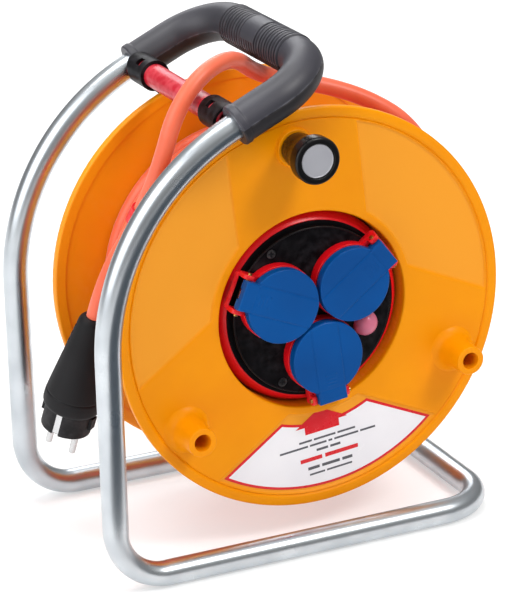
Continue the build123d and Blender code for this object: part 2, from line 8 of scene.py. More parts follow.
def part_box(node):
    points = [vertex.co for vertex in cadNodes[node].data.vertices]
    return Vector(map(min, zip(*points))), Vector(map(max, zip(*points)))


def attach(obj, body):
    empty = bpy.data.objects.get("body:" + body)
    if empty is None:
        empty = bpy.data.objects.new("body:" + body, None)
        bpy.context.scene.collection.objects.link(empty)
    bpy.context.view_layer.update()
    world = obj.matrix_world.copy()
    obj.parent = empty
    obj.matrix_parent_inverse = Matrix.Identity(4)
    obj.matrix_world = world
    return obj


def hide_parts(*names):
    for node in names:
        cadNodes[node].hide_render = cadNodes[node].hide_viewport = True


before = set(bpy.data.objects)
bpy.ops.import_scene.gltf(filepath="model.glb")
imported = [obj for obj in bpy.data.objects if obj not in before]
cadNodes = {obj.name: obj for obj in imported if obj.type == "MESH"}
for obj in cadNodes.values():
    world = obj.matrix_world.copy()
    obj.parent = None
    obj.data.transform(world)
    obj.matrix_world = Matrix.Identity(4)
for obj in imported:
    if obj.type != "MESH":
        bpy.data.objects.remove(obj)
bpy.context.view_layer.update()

# Extension cord reel. Sizes are in millimetres in each piece's dictionary and become metres in the
# meshes. The reel's own space has its middle on the axle: x right, y up, z out towards the front.
mm = 0.001
flangeLow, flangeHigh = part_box("rear_flange")
axleX = (flangeLow.x + flangeHigh.x) / 2
axleZ = (flangeLow.z + flangeHigh.z) / 2
frameShift = 17.5  # the tube frame's middle lies this far left of the axle; its sizes start from there
middleX = axleX - frameShift * mm


def reelSpace(local):
    # Reel millimetres to metres in the shared frame: z comes forward as -y, y goes up.
    x, y, z = np.moveaxis(np.asarray(local, float), -1, 0)
    return np.stack([axleX + x * mm, -z * mm, axleZ + y * mm], -1)


def frameSpace(local):
    return np.asarray(local, float) * mm + (middleX, 0, 0)


def unit(vectors):
    return vectors / np.linalg.norm(vectors, axis=-1, keepdims=True)


def ease(value, low, high):
    # Smooth step from 0 at low to 1 at high.
    t = np.clip((np.asarray(value, float) - low) / (high - low), 0, 1)
    return t * t * (3 - 2 * t)


def polar(radius, degrees):
    return np.array([radius * math.cos(math.radians(degrees)), radius * math.sin(math.radians(degrees))])


# Camera, lights and floor.
cameraView = {"azimuth": -24.31, "elevation": 20.21, "roll": -1.43, "lens": 165.1,
              "place": (-0.7535, -1.6676, 0.8339)}
lightValues = [
    # name, place, size, watts, colour
    ("keyLight", (1.1, -1.9, 2.5), 0.9, 46, (1.0, 0.985, 0.96)),
    ("leftLight", (-2.3, -0.5, 1.5), 2.4, 50, (0.97, 0.985, 1.0)),
    ("topLight", (-0.2, 0.3, 2.6), 1.6, 34, (1.0, 1.0, 1.0)),
    ("backLight", (0.6, 2.2, 1.6), 1.2, 18, (0.97, 0.98, 1.0)),
]
# a dark card in front, seen only as a reflection, keeps the glare off the front faces
cardValues = {"low": (-0.30, -2.4), "high": (2.2, -0.19), "height": 0.002, "grey": (64, 72, 80)}
roomValues = {"strength": 0.66, "zenith": 1.0, "horizon": 0.36, "below": 0.6, "horizonEnds": 0.62,
              "floor": (206, 206, 206), "floorSize": 16, "floorHeight": -0.0002, "floorRough": 0.9,
              "floorGloss": 0.1, "glow": 0.42}


def makeCamera(values):
    azimuth, elevation, roll = (math.radians(values[key]) for key in ("azimuth", "elevation", "roll"))
    back = Vector((math.sin(azimuth) * math.cos(elevation), -math.cos(azimuth) * math.cos(elevation),
                   math.sin(elevation)))
    right = Vector((math.cos(azimuth), math.sin(azimuth), 0))
    up = back.cross(right)
    sideways = right * math.cos(roll) + up * math.sin(roll)
    upright = up * math.cos(roll) - right * math.sin(roll)
    data = bpy.data.cameras.new("camera")
    data.lens = values["lens"]
    data.sensor_width = 36
    camera = bpy.data.objects.new("camera", data)
    bpy.context.scene.collection.objects.link(camera)
    place = Vector(values["place"]) + Vector((middleX, 0, 0))
    camera.matrix_world = (Matrix.Translation(place)
                           @ Matrix((sideways, upright, back)).transposed().to_4x4())
    bpy.context.scene.camera = camera


def makeLights(lights):
    aim = Vector((axleX, 0, axleZ))
    for name, place, size, watts, colour in lights:
        data = bpy.data.lights.new(name, "AREA")
        data.size, data.energy, data.color = size, watts, colour
        lamp = bpy.data.objects.new(name, data)
        bpy.context.scene.collection.objects.link(lamp)
        lamp.location = place
        lamp.rotation_euler = (aim - Vector(place)).to_track_quat("-Z", "Y").to_euler()


def makeRoom(values):
    # The world is brightest overhead and dimmer at the horizon, which gives bare metal its dark bands.
    world = bpy.data.worlds.new("studio")
    bpy.context.scene.world = world
    world.use_nodes = True
    tree = world.node_tree
    background = tree.nodes["Background"]
    background.inputs["Strength"].default_value = values["strength"]
    coords = tree.nodes.new("ShaderNodeTexCoord")
    split = tree.nodes.new("ShaderNodeSeparateXYZ")
    height = tree.nodes.new("ShaderNodeMapRange")
    height.inputs["From Min"].default_value = -1
    ramp = tree.nodes.new("ShaderNodeValToRGB")
    tree.links.new(coords.outputs["Generated"], split.inputs[0])
    tree.links.new(split.outputs["Z"], height.inputs["Value"])
    tree.links.new(height.outputs["Result"], ramp.inputs["Fac"])
    tree.links.new(ramp.outputs["Color"], background.inputs["Color"])
    stops = [(0.0, values["below"]), (0.5, values["horizon"]), (values["horizonEnds"], values["horizon"]),
             (1.0, values["zenith"])]
    while len(ramp.color_ramp.elements) < len(stops):
        ramp.color_ramp.elements.new(0.5)
    for element, (at, grey) in zip(ramp.color_ramp.elements, stops):
        element.position = at
        element.color = (grey, grey, grey, 1)
    bpy.ops.mesh.primitive_plane_add(size=values["floorSize"], location=(0, 0, values["floorHeight"]))
    floor = bpy.context.object
    floor.name = "floor"
    material, tree, shader = newMaterial("paleFloor")
    feed(tree, shader, BaseColor=srgb(values["floor"]), Roughness=values["floorRough"],
         SpecularIORLevel=values["floorGloss"], EmissionColor=(1, 1, 1, 1), EmissionStrength=values["glow"])
    floor.data.materials.append(material)


def makeCard(values):
    (lowX, lowY), (highX, highY) = values["low"], values["high"]
    corners = [(lowX, lowY), (highX, lowY), (highX, highY), (lowX, highY)]
    mesh = bpy.data.meshes.new("card")
    mesh.from_pydata([(x, y, values["height"]) for x, y in corners], [], [(0, 1, 2, 3)])
    card = bpy.data.objects.new("card", mesh)
    bpy.context.scene.collection.objects.link(card)
    card.visible_camera = card.visible_diffuse = card.visible_shadow = card.visible_transmission = False
    material, tree, shader = newMaterial("darkCard")
    feed(tree, shader, BaseColor=srgb(values["grey"]), SpecularIORLevel=0.0)
    mesh.materials.append(material)


def srgb(colour):
    # Screen colour, 0 to 255, to linear light.
    value = np.array(colour, float) / 255
    linear = np.where(value <= 0.04045, value / 12.92, ((value + 0.055) / 1.055) ** 2.4)
    return (*linear.tolist(), 1.0)


def newMaterial(name):
    material = bpy.data.materials.new(name)
    material.use_nodes = True
    return material, material.node_tree, material.node_tree.nodes["Principled BSDF"]


def setSocket(tree, socket, value):
    # Links the socket to another one, or sets its own value.
    if isinstance(value, bpy.types.NodeSocket):
        tree.links.new(value, socket)
    else:
        socket.default_value = value


def feed(tree, node, **values):
    # Links or sets a node's sockets by name; blanks in a socket's name are left out.
    for key, value in values.items():
        socket = next(s for s in node.inputs if s.enabled and s.name.replace(" ", "") == key)
        setSocket(tree, socket, value)
    return node


makeCamera(cameraView)
makeLights(lightValues)
makeRoom(roomValues)
makeCard(cardValues)
bpy.context.scene.view_settings.view_transform = "Standard"
print("camera, lights and floor are set")


# Shader groups: each is built once, with named inputs and outputs.
def newGroup(name, inputs, outputs):
    tree = bpy.data.node_groups.new(name, "ShaderNodeTree")
    for label, kind, value in inputs:
        socket = tree.interface.new_socket(label, in_out="INPUT", socket_type=kind)
        socket.default_value = value
    for label, kind in outputs:
        tree.interface.new_socket(label, in_out="OUTPUT", socket_type=kind)
    return tree, tree.nodes.new("NodeGroupInput"), tree.nodes.new("NodeGroupOutput")


def addNode(tree, kind, settings=None, **values):
    node = tree.nodes.new(kind)
    for key, value in (settings or {}).items():
        setattr(node, key, value)
    return feed(tree, node, **values)


def mathNode(tree, operation, first, second=0.0, clamp=False):
    node = tree.nodes.new("ShaderNodeMath")
    node.operation, node.use_clamp = operation, clamp
    for socket, value in zip(node.inputs, (first, second)):
        setSocket(tree, socket, value)
    return node.outputs[0]


def colourMix(tree, factor, first, second):
    node = tree.nodes.new("ShaderNodeMix")
    node.data_type = "RGBA"
    for index, value in ((0, factor), (6, first), (7, second)):
        setSocket(tree, node.inputs[index], value)
    return node.outputs[2]


def noise(tree, place, scale, detail, roughness=0.5):
    return addNode(tree, "ShaderNodeTexNoise", None, Vector=place, Scale=scale, Detail=detail,
                   Roughness=roughness).outputs[0]


def spread(tree, value, low, high, toLow=0.0, toHigh=1.0):
    # Straight scaling of low to high onto toLow to toHigh, held at both ends.
    return addNode(tree, "ShaderNodeMapRange", None, Value=value, FromMin=low, FromMax=high, ToMin=toLow,
                   ToMax=toHigh).outputs[0]


def makeDriftGroup():
    # Slow change between two tones of one colour, as moulded plastic has.
    tree, source, result = newGroup("toneDrift", [
        ("Place", "NodeSocketVector", (0, 0, 0)), ("Tone", "NodeSocketColor", (1, 1, 1, 1)),
        ("Shade", "NodeSocketColor", (1, 1, 1, 1)), ("Scale", "NodeSocketFloat", 12.0)],
        [("Color", "NodeSocketColor"), ("Drift", "NodeSocketFloat")])
    given = source.outputs
    drift = spread(tree, noise(tree, given["Place"], given["Scale"], 3.0), 0.35, 0.65)
    feed(tree, result, Color=colourMix(tree, drift, given["Tone"], given["Shade"]), Drift=drift)
    return tree


def makeGrainGroup():
    # Fine moulded grain with a little wide waviness, as a height.
    tree, source, result = newGroup("fineGrain", [
        ("Place", "NodeSocketVector", (0, 0, 0)), ("Scale", "NodeSocketFloat", 900.0),
        ("Wave", "NodeSocketFloat", 0.3)], [("Height", "NodeSocketFloat"), ("Speck", "NodeSocketFloat")])
    given = source.outputs
    fine = noise(tree, given["Place"], given["Scale"], 2.0, 0.6)
    wide = noise(tree, given["Place"], 34.0, 1.0)
    height = mathNode(tree, "ADD", fine, mathNode(tree, "MULTIPLY", wide, given["Wave"]))
    feed(tree, result, Height=height, Speck=fine)
    return tree


def makeRubGroup():
    # Edges that stand out are rubbed; a broken pattern keeps the rub from being even.
    tree, source, result = newGroup("edgeRub", [
        ("Place", "NodeSocketVector", (0, 0, 0)), ("Amount", "NodeSocketFloat", 0.5)],
        [("Rub", "NodeSocketFloat")])
    given = source.outputs
    edge = spread(tree, tree.nodes.new("ShaderNodeNewGeometry").outputs["Pointiness"], 0.52, 0.60)
    broken = spread(tree, noise(tree, given["Place"], 160.0, 4.0), 0.4, 0.65)
    rub = mathNode(tree, "MULTIPLY", mathNode(tree, "MULTIPLY", edge, broken), given["Amount"], True)
    feed(tree, result, Rub=rub)
    return tree


def makeSteelGroup():
    # Drawn zinc-plated tube: faint streaks along the tube and soft patches of the plating.
    tree, source, result = newGroup("platedSteel", [
        ("Place", "NodeSocketVector", (0, 0, 0)), ("Along", "NodeSocketVector", (0, 0, 0)),
        ("Tone", "NodeSocketColor", (0.8, 0.8, 0.8, 1)), ("Shade", "NodeSocketColor", (0.6, 0.6, 0.6, 1))],
        [("Color", "NodeSocketColor"), ("Roughness", "NodeSocketFloat"), ("Height", "NodeSocketFloat")])
    given = source.outputs
    flake = addNode(tree, "ShaderNodeTexVoronoi", {"feature": "SMOOTH_F1"}, Vector=given["Place"],
                    Scale=55.0, Smoothness=0.7)
    cloud = noise(tree, given["Place"], 22.0, 5.0)
    streak = noise(tree, given["Along"], 1.0, 4.0)
    mask = mathNode(tree, "ADD", mathNode(tree, "MULTIPLY", flake.outputs["Distance"], 0.5),
                    mathNode(tree, "MULTIPLY", cloud, 0.7))
    plating = spread(tree, mask, 0.35, 0.85)
    rough = mathNode(tree, "ADD", mathNode(tree, "MULTIPLY", plating, 0.07),
                     mathNode(tree, "MULTIPLY", streak, 0.10))
    feed(tree, result, Color=colourMix(tree, plating, given["Tone"], given["Shade"]),
         Roughness=mathNode(tree, "ADD", rough, 0.17),
         Height=mathNode(tree, "ADD", streak, mathNode(tree, "MULTIPLY", cloud, 0.4)))
    return tree


toneDrift = makeDriftGroup()
fineGrain = makeGrainGroup()
edgeRub = makeRubGroup()
platedSteel = makeSteelGroup()


def useGroup(tree, group, **links):
    return addNode(tree, "ShaderNodeGroup", {"node_tree": group}, **links)


def plastic(tone, shade, rough, grain, scale, rubbed, rub=0.3, soft=0.0, gloss=0.35, panel=None):
    # tone, shade, rubbed and panel are screen colours; rough is the range of roughness; grain is a height in mm
    return {"tone": tone, "shade": shade, "rough": rough, "grain": grain, "scale": float(scale),
            "rubbed": rubbed, "rub": rub, "soft": soft, "gloss": gloss, "panel": panel}


plasticLooks = {
    "orangePlastic": plastic((236, 147, 0), (232, 140, 0), (0.3, 0.42), 0.012, 700, (244, 184, 92),
                             soft=0.02, gloss=0.12, panel=(235, 153, 40)),
    "orangeInside": plastic((240, 150, 8), (236, 140, 5), (0.32, 0.45), 0.012, 700, (240, 160, 70), soft=0.02),
    "gripGrey": plastic((54, 53, 62), (40, 39, 46), (0.42, 0.54), 0.05, 520, (128, 128, 136),
                        rub=0.5, gloss=0.6),
    "gripDark": plastic((38, 35, 39), (28, 26, 29), (0.45, 0.6), 0.05, 520, (96, 92, 92), rub=0.5),
    "blackPlastic": plastic((14, 12, 14), (8, 7, 9), (0.34, 0.5), 0.02, 650, (60, 58, 62),
                            rub=0.35, gloss=0.08),
    "knobBlack": plastic((16, 13, 14), (9, 8, 9), (0.22, 0.36), 0.012, 500, (86, 84, 88)),
    "redPlastic": plastic((228, 16, 30), (216, 10, 24), (0.26, 0.38), 0.012, 700, (236, 96, 92),
                          rub=0.35, soft=0.05),
    "strutRed": plastic((186, 18, 42), (176, 12, 34), (0.3, 0.38), 0.004, 700, (236, 110, 118), soft=0.04),
    "bluePlastic": plastic((0, 76, 146), (0, 68, 134), (0.3, 0.44), 0.018, 600, (70, 134, 196),
                           rub=0.45, gloss=0.12),
    "wellBlack": plastic((26, 25, 27), (18, 17, 19), (0.4, 0.55), 0.02, 650, (70, 70, 72)),
    "innerPlastic": plastic((58, 58, 60), (48, 48, 50), (0.45, 0.6), 0.02, 600, (100, 100, 100)),
    "bushPlastic": plastic((214, 210, 196), (202, 198, 184), (0.35, 0.5), 0.01, 600, (230, 228, 220),
                           rub=0.2, soft=0.05),
    "gasketRubber": plastic((34, 34, 35), (26, 26, 27), (0.6, 0.75), 0.03, 800, (60, 60, 60), rub=0.2),
    "carbonBlock": plastic((40, 40, 41), (28, 28, 29), (0.5, 0.7), 0.03, 900, (84, 84, 84), rub=0.4),
    "plugRubber": plastic((24, 23, 25), (16, 15, 17), (0.48, 0.62), 0.035, 620, (64, 62, 64),
                          rub=0.35, gloss=0.2),
    "labelFilm": plastic((236, 234, 238), (228, 226, 231), (0.2, 0.3), 0.006, 300, (240, 240, 240), rub=0.1),
    "printRed": plastic((216, 26, 38), (206, 18, 30), (0.22, 0.32), 0.006, 300, (226, 80, 84), rub=0.1),
    "printGrey": plastic((92, 92, 98), (80, 80, 86), (0.22, 0.32), 0.006, 300, (120, 120, 124), rub=0.1),
    "screwBlack": plastic((34, 33, 35), (22, 21, 23), (0.3, 0.45), 0.01, 500, (96, 94, 92), rub=0.6),
}
# streaks stretch the pattern of each steel along the axis that has the small number
steelLooks = {
    "tubeSteel": {"tone": (206, 211, 215), "shade": (180, 186, 191), "streaks": (6, 900, 1), "lift": 0.05,
                  "follows": "UV"},
    "plainSteel": {"tone": (196, 197, 196), "shade": (170, 170, 168), "streaks": (400, 400, 40), "lift": 0.08},
    "springSteel": {"tone": (206, 207, 208), "shade": (184, 184, 184), "streaks": (500, 500, 500), "lift": 0.02},
    "brass": {"tone": (214, 176, 104), "shade": (190, 150, 84), "streaks": (300, 300, 300), "lift": 0.06},
    "capSilver": {"tone": (196, 196, 202), "shade": (182, 182, 190), "streaks": (200, 200, 200), "lift": 0.12,
                  "metal": 0.45},
}
cableLook = {"tone": (232, 106, 74), "shade": (224, 94, 58), "rough": (0.34, 0.52), "sheen": 0.25, "soft": 0.05}
clearCapLook = {"tone": (252, 160, 188), "shade": (244, 136, 170), "rough": 0.14, "clear": 0.55, "bend": 1.3}


def addBump(tree, shader, height, strength, depth):
    # depth is in millimetres
    bump = addNode(tree, "ShaderNodeBump", None, Height=height, Strength=strength, Distance=depth * mm)
    feed(tree, shader, Normal=bump.outputs[0])


def driftAndGrain(tree, look, driftScale, grainScale, wave):
    place = tree.nodes.new("ShaderNodeTexCoord").outputs["Object"]
    drift = useGroup(tree, toneDrift, Place=place, Tone=srgb(look["tone"]), Shade=srgb(look["shade"]),
                     Scale=driftScale)
    return place, drift.outputs, useGroup(tree, fineGrain, Place=place, Scale=grainScale, Wave=wave).outputs


def makePlastic(name, look):
    material, tree, shader = newMaterial(name)
    place, drift, grain = driftAndGrain(tree, look, 16.0, look["scale"], 0.35)
    rub = useGroup(tree, edgeRub, Place=place, Amount=look["rub"])
    colour = colourMix(tree, rub.outputs["Rub"], drift["Color"], srgb(look["rubbed"]))
    if look["panel"]:
        panel = addNode(tree, "ShaderNodeAttribute", {"attribute_name": "panel"})
        colour = colourMix(tree, panel.outputs["Fac"], colour, srgb(look["panel"]))
    mixed = mathNode(tree, "MULTIPLY", mathNode(tree, "ADD", drift["Drift"], grain["Speck"]), 0.5)
    feed(tree, shader, BaseColor=colour, Roughness=spread(tree, mixed, 0.0, 1.0, *look["rough"]),
         SpecularIORLevel=look["gloss"], SubsurfaceWeight=look["soft"], SubsurfaceRadius=(0.004, 0.002, 0.001))
    addBump(tree, shader, grain["Height"], 0.6, look["grain"])
    return material


def makeSteel(name, look):
    material, tree, shader = newMaterial(name)
    coords = tree.nodes.new("ShaderNodeTexCoord").outputs
    along = addNode(tree, "ShaderNodeMapping", None, Vector=coords[look.get("follows", "Object")],
                    Scale=look["streaks"])
    steel = useGroup(tree, platedSteel, Place=coords["Object"], Along=along.outputs[0],
                     Tone=srgb(look["tone"]), Shade=srgb(look["shade"])).outputs
    feed(tree, shader, BaseColor=steel["Color"], Metallic=look.get("metal", 1.0),
         Roughness=mathNode(tree, "ADD", steel["Roughness"], look["lift"]))
    addBump(tree, shader, steel["Height"], 0.25, 0.015)
    return material


def makeCableSkin(name, look):
    # Smooth sheath with a fine grain and a slight bloom.
    material, tree, shader = newMaterial(name)
    _, drift, grain = driftAndGrain(tree, look, 30.0, 450.0, 0.8)
    rough = spread(tree, grain["Speck"], 0.0, 1.0, *look["rough"])
    feed(tree, shader, BaseColor=drift["Color"], Roughness=rough,
         SheenWeight=look["sheen"], SheenRoughness=0.4, SubsurfaceWeight=look["soft"],
         SubsurfaceRadius=(0.004, 0.001, 0.001))
    addBump(tree, shader, grain["Height"], 0.5, 0.03)
    return material


def makeClearCap(name, look):
    material, tree, shader = newMaterial(name)
    _, drift, grain = driftAndGrain(tree, look, 60.0, 300.0, 0.5)
    feed(tree, shader, BaseColor=drift["Color"], Roughness=look["rough"], TransmissionWeight=look["clear"],
         IOR=look["bend"])
    addBump(tree, shader, grain["Height"], 0.3, 0.02)
    return material


def makeMaterials():
    made = {name: makePlastic(name, look) for name, look in plasticLooks.items()}
    made.update({name: makeSteel(name, look) for name, look in steelLooks.items()})
    made["cableSkin"] = makeCableSkin("cableSkin", cableLook)
    made["clearCap"] = makeClearCap("clearCap", clearCapLook)
    return made


looks = makeMaterials()
print("materials are made:", len(looks))


# Surfaces: every new piece is made of grids of points, worked out whole.
def gridFaces(rows, columns, wrapRows, wrapColumns):
    # Four-sided faces between neighbouring points; a wrapped side joins its last line to its first.
    across, down = np.meshgrid(np.arange(rows if wrapRows else rows - 1),
                               np.arange(columns if wrapColumns else columns - 1), indexing="ij")
    nextRow, nextColumn = (across + 1) % rows, (down + 1) % columns
    return np.stack([across * columns + down, across * columns + nextColumn,
                     nextRow * columns + nextColumn, nextRow * columns + down], -1).reshape(-1, 4)


def patch(points, wrapRows=False, wrapColumns=False, mask=None, uv=None):
    return {"points": points, "wrap": (wrapRows, wrapColumns), "mask": mask, "uv": uv}


def makePiece(name, patches, body, material, nodes=(), sharp=35):
    # Joins the patches in one mesh, closes poles and seams by merging, and turns the faces outwards.
    points, faces, masks, uvs, start = [], [], [], [], 0
    for part in patches:
        rows, columns = part["points"].shape[:2]
        own = gridFaces(rows, columns, *part["wrap"])
        points.append(part["points"].reshape(-1, 3))
        faces.append(own + start)
        masks.append(np.zeros(rows * columns) if part["mask"] is None else part["mask"].ravel())
        if part["uv"] is not None:
            uvs.append(part["uv"].reshape(-1, 2)[own.ravel()])
        start += rows * columns
    mesh = bpy.data.meshes.new(name)
    mesh.from_pydata(np.concatenate(points).tolist(), [], np.concatenate(faces).tolist())
    panel = mesh.attributes.new("panel", "FLOAT", "POINT")
    panel.data.foreach_set("value", np.concatenate(masks).astype(np.float32))
    if uvs:
        layer = mesh.uv_layers.new(name="along")
        layer.uv.foreach_set("vector", np.concatenate(uvs).astype(np.float32).ravel())
    work = bmesh.new()
    work.from_mesh(mesh)
    bmesh.ops.remove_doubles(work, verts=work.verts, dist=2e-6)
    bmesh.ops.recalc_face_normals(work, faces=work.faces)
    work.to_mesh(mesh)
    work.free()
    mesh.shade_smooth()
    mesh.set_sharp_from_angle(angle=math.radians(sharp))
    piece = bpy.data.objects.new(name, mesh)
    bpy.context.scene.collection.objects.link(piece)
    mesh.materials.append(looks[material])
    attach(piece, body)
    if nodes:
        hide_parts(*nodes)
    return piece


def softCorners(points, radius, steps=4, closed=False):
    # Every corner of an outline becomes a short even curve that starts and ends `radius` from it.
    points = np.asarray(points, float)
    before, after = np.roll(points, 1, 0), np.roll(points, -1, 0)
    reach = np.broadcast_to(np.asarray(radius, float), len(points))
    t = np.linspace(0, 1, steps + 1)[None, :, None]
    backLength = np.linalg.norm(before - points, axis=1)
    nextLength = np.linalg.norm(after - points, axis=1)
    first = points + unit(before - points) * np.minimum(reach, backLength * 0.45)[:, None]
    last = points + unit(after - points) * np.minimum(reach, nextLength * 0.45)[:, None]
    curve = (1 - t) ** 2 * first[:, None] + 2 * t * (1 - t) * points[:, None] + t ** 2 * last[:, None]
    if not closed:
        curve[0], curve[-1] = points[0], points[-1]
        keep = np.ones(len(points) * (steps + 1), bool)
        keep[1:steps + 1] = keep[-steps:] = False
        return curve.reshape(-1, 2)[keep]
    return curve.reshape(-1, 2)


def turned(profile, place=(0, 0), sides=96, closed=False):
    # Each profile point (radius, height) goes round the axis at place: x = r cos a, y = r sin a, z = height.
    profile = np.asarray(profile, float)
    angles = np.linspace(0, 2 * np.pi, sides, endpoint=False)
    radius, height = profile[:, :1], profile[:, 1:]
    return patch(reelSpace(np.stack([place[0] + radius * np.cos(angles), place[1] + radius * np.sin(angles),
                                     height + 0 * angles], -1)), closed, True)


def carriedFrames(centres, closed=False):
    # Side vectors carried along the path without spin; a closed path spreads its leftover turn evenly.
    ahead = np.roll(centres, -1, 0) - np.roll(centres, 1, 0) if closed else np.gradient(centres, axis=0)
    ahead = unit(ahead)
    side = np.empty_like(ahead)
    start = np.cross(ahead[0], (0.0, 0.0, 1.0))
    if np.linalg.norm(start) < 0.3:
        start = np.cross(ahead[0], (0.0, 1.0, 0.0))
    side[0] = start / np.linalg.norm(start)
    for index in range(1, len(centres)):
        carried = side[index - 1] - ahead[index] * np.dot(side[index - 1], ahead[index])
        side[index] = carried / np.linalg.norm(carried)
    if closed:
        last = side[-1] - ahead[0] * np.dot(side[-1], ahead[0])
        twist = math.atan2(np.dot(np.cross(last, side[0]), ahead[0]), np.dot(last, side[0]))
        turn = (twist * np.arange(len(centres)) / len(centres))[:, None]
        side = side * np.cos(turn) + np.cross(ahead, side) * np.sin(turn)
    return ahead, side, np.cross(ahead, side)


def bentPath(corners, radii, bendStep=3.0, runStep=14.0, closed=False):
    # Straight runs joined by round bends, as a tube bender leaves them, with the stations along it.
    corners = np.asarray(corners, float)
    stations, bends = [], []
    count = len(corners)
    for index in range(count):
        here = corners[index]
        if not closed and index in (0, count - 1):
            stations.append(here[None])
            bends.append(np.zeros((1, 4)))
            continue
        back, onward = unit(corners[index - 1] - here), unit(corners[(index + 1) % count] - here)
        half = math.acos(np.clip(np.dot(back, onward), -1, 1)) / 2
        cut = radii[index] / math.tan(half)
        middle = here + unit(back + onward) * radii[index] / math.sin(half)
        sweep = math.pi - 2 * half
        angles = np.linspace(0, sweep, max(6, int(radii[index] * sweep / bendStep)))[:, None]
        outward = unit(here + back * cut - middle) * np.cos(angles) + unit(-back) * np.sin(angles)
        stations.append(middle + radii[index] * outward)
        # only a tight bend presses the tube, most in its middle
        strength = np.minimum(1, np.sin(np.linspace(0, math.pi, len(angles))) * 2.2) * (radii[index] < 100)
        bends.append(np.column_stack([-outward, strength]))
    filled, pull = [], []
    for index in range(count):
        filled.append(stations[index])
        pull.append(bends[index])
        if closed or index < count - 1:
            start, end = stations[index][-1], stations[(index + 1) % count][0]
            pieces = max(2, int(np.linalg.norm(end - start) / runStep))
            t = np.linspace(0, 1, pieces + 1)[1:-1, None]
            filled.append(start + (end - start) * t)
            pull.append(np.zeros((len(t), 4)))
    return np.concatenate(filled), np.concatenate(pull)


# The free end of the cable.
freeCable = {
    "radius": 0.006, "length": 0.555,
    "route": [(112, -20, -41), (119.5, -19, -5), (124, -15, 35), (122, -9, 75), (103, -7, 106), (78, 1, 124),
              (49, 10, 136), (16, 15, 144), (-8, 10, 154), (-31, -12, 172), (-53, -27, 174.5), (-74, -37, 166),
              (-90, -40, 146), (-98, -37, 117), (-104, -25, 88), (-112, -7, 57), (-129, 0, 25), (-134.5, 8, -4)]}


def makeFreeCable(values):
    # Curve through the route's control points, measured from the axle, with a round section.
    route = np.array(values["route"], float) * mm + (axleX, 0, axleZ)
    curve = bpy.data.curves.new("freeCable", "CURVE")
    curve.dimensions = "3D"
    spline = curve.splines.new("NURBS")
    spline.points.add(len(route) - 1)
    spline.points.foreach_set("co", np.column_stack([route, np.ones(len(route))]).ravel())
    spline.order_u = 3
    spline.use_endpoint_u = True
    spline.resolution_u = 12
    curve.bevel_depth = values["radius"]
    curve.bevel_resolution = 8
    curve.use_fill_caps = True
    piece = bpy.data.objects.new("freeCable", curve)
    bpy.context.scene.collection.objects.link(piece)
    curve.materials.append(looks["cableSkin"])
    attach(piece, "frame")
    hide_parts("free_cable")
    return piece, route


freeCablePiece, cableRoute = makeFreeCable(freeCable)
print("free cable is laid")


# Wound cable: three layers of turns between the flanges.
winding = {"layers": 3, "turns": 9, "firstRadius": 80.3, "layerRise": 11.4, "cableRadius": 5.95,
           "halfWidth": 51.3, "stations": 72, "sides": 12, "uneven": 0.55}


def makeWinding(values):
    # One turn: radius and place along the axle as functions of the angle.
    rng = np.random.default_rng(11)
    patches = []
    angles = np.linspace(0, 2 * np.pi, values["stations"], endpoint=False)
    section = np.linspace(0, 2 * np.pi, values["sides"], endpoint=False)
    pitch = 2 * values["halfWidth"] / (values["turns"] - 0.5)
    for layer in range(values["layers"]):
        radius = values["firstRadius"] + values["layerRise"] * layer
        for turn in range(values["turns"]):
            middle = -values["halfWidth"] + pitch * (turn + 0.5 * (layer % 2))
            phase = rng.uniform(0, 2 * np.pi, 3)
            wobble = values["uneven"] * rng.uniform(0.2, 1.0) * (0.4 + 0.6 * (layer == values["layers"] - 1))
            shift = wobble * (np.sin(angles + phase[0]) + 0.6 * np.sin(2 * angles + phase[1]))
            swell = 0.35 * wobble * np.sin(2 * angles + phase[2])
            middle = np.clip(middle + shift, -values["halfWidth"], values["halfWidth"])
            out = (radius + swell)[:, None] + values["cableRadius"] * np.cos(section)
            along = middle[:, None] + values["cableRadius"] * np.sin(section)
            patches.append(patch(reelSpace(np.stack([out * np.cos(angles)[:, None],
                                                     out * np.sin(angles)[:, None], along], -1)), True, True))
    makePiece("cableWinding", patches, "drum", "cableSkin", ("cable_winding",), 80)


makeWinding(winding)
print("cable is wound on the drum")


# Frame tube: one steel tube bent into a closed loop.
frameTube = {"radius": 9.0, "flatten": 0.05, "sides": 40, "bend": 38.0, "sideArc": 163.0,
             "corners": [(145.5, -88, 9), (145.5, 88, 9), (-145.5, 88, 9), (-145.5, 88, 273.85),
                         (14.5, 88, 348.45), (14.5, -88, 348.45), (-145.5, -88, 273.85), (-145.5, -88, 9)]}


def makeFrameTube(values):
    # Round section carried along the loop, pressed a little flat towards the inside of each tight bend.
    bend, arc = values["bend"], values["sideArc"]
    centres, pull = bentPath(values["corners"], [bend, bend, bend, arc, bend, bend, arc, bend], closed=True)
    _, side, up = carriedFrames(centres, closed=True)
    angles = np.linspace(0, 2 * np.pi, values["sides"] + 1)
    direction = side[:, None] * np.cos(angles)[None, :, None] + up[:, None] * np.sin(angles)[None, :, None]
    inward = np.einsum("rck,rk->rc", direction, pull[:, :3])
    squeeze = 1 - values["flatten"] * pull[:, 3:4] * inward ** 2 * (1 + 0.4 * (inward > 0))
    surface = centres[:, None] + direction * (values["radius"] * squeeze)[..., None]
    along = np.concatenate([[0], np.cumsum(np.linalg.norm(np.diff(centres, axis=0), axis=1))])
    total = along[-1] + np.linalg.norm(centres[-1] - centres[0])
    surface = np.concatenate([surface, surface[:1]])
    along = np.append(along, total) * mm
    uv = np.stack(np.broadcast_arrays(along[:, None], angles[None] / (2 * np.pi)), -1)
    makePiece("frameTube", [patch(frameSpace(surface), uv=uv)], "frame", "tubeSteel",
              ("frame_base", "frame_upright_front", "frame_upright_rear"), 60)


makeFrameTube(frameTube)
print("frame tube is bent")


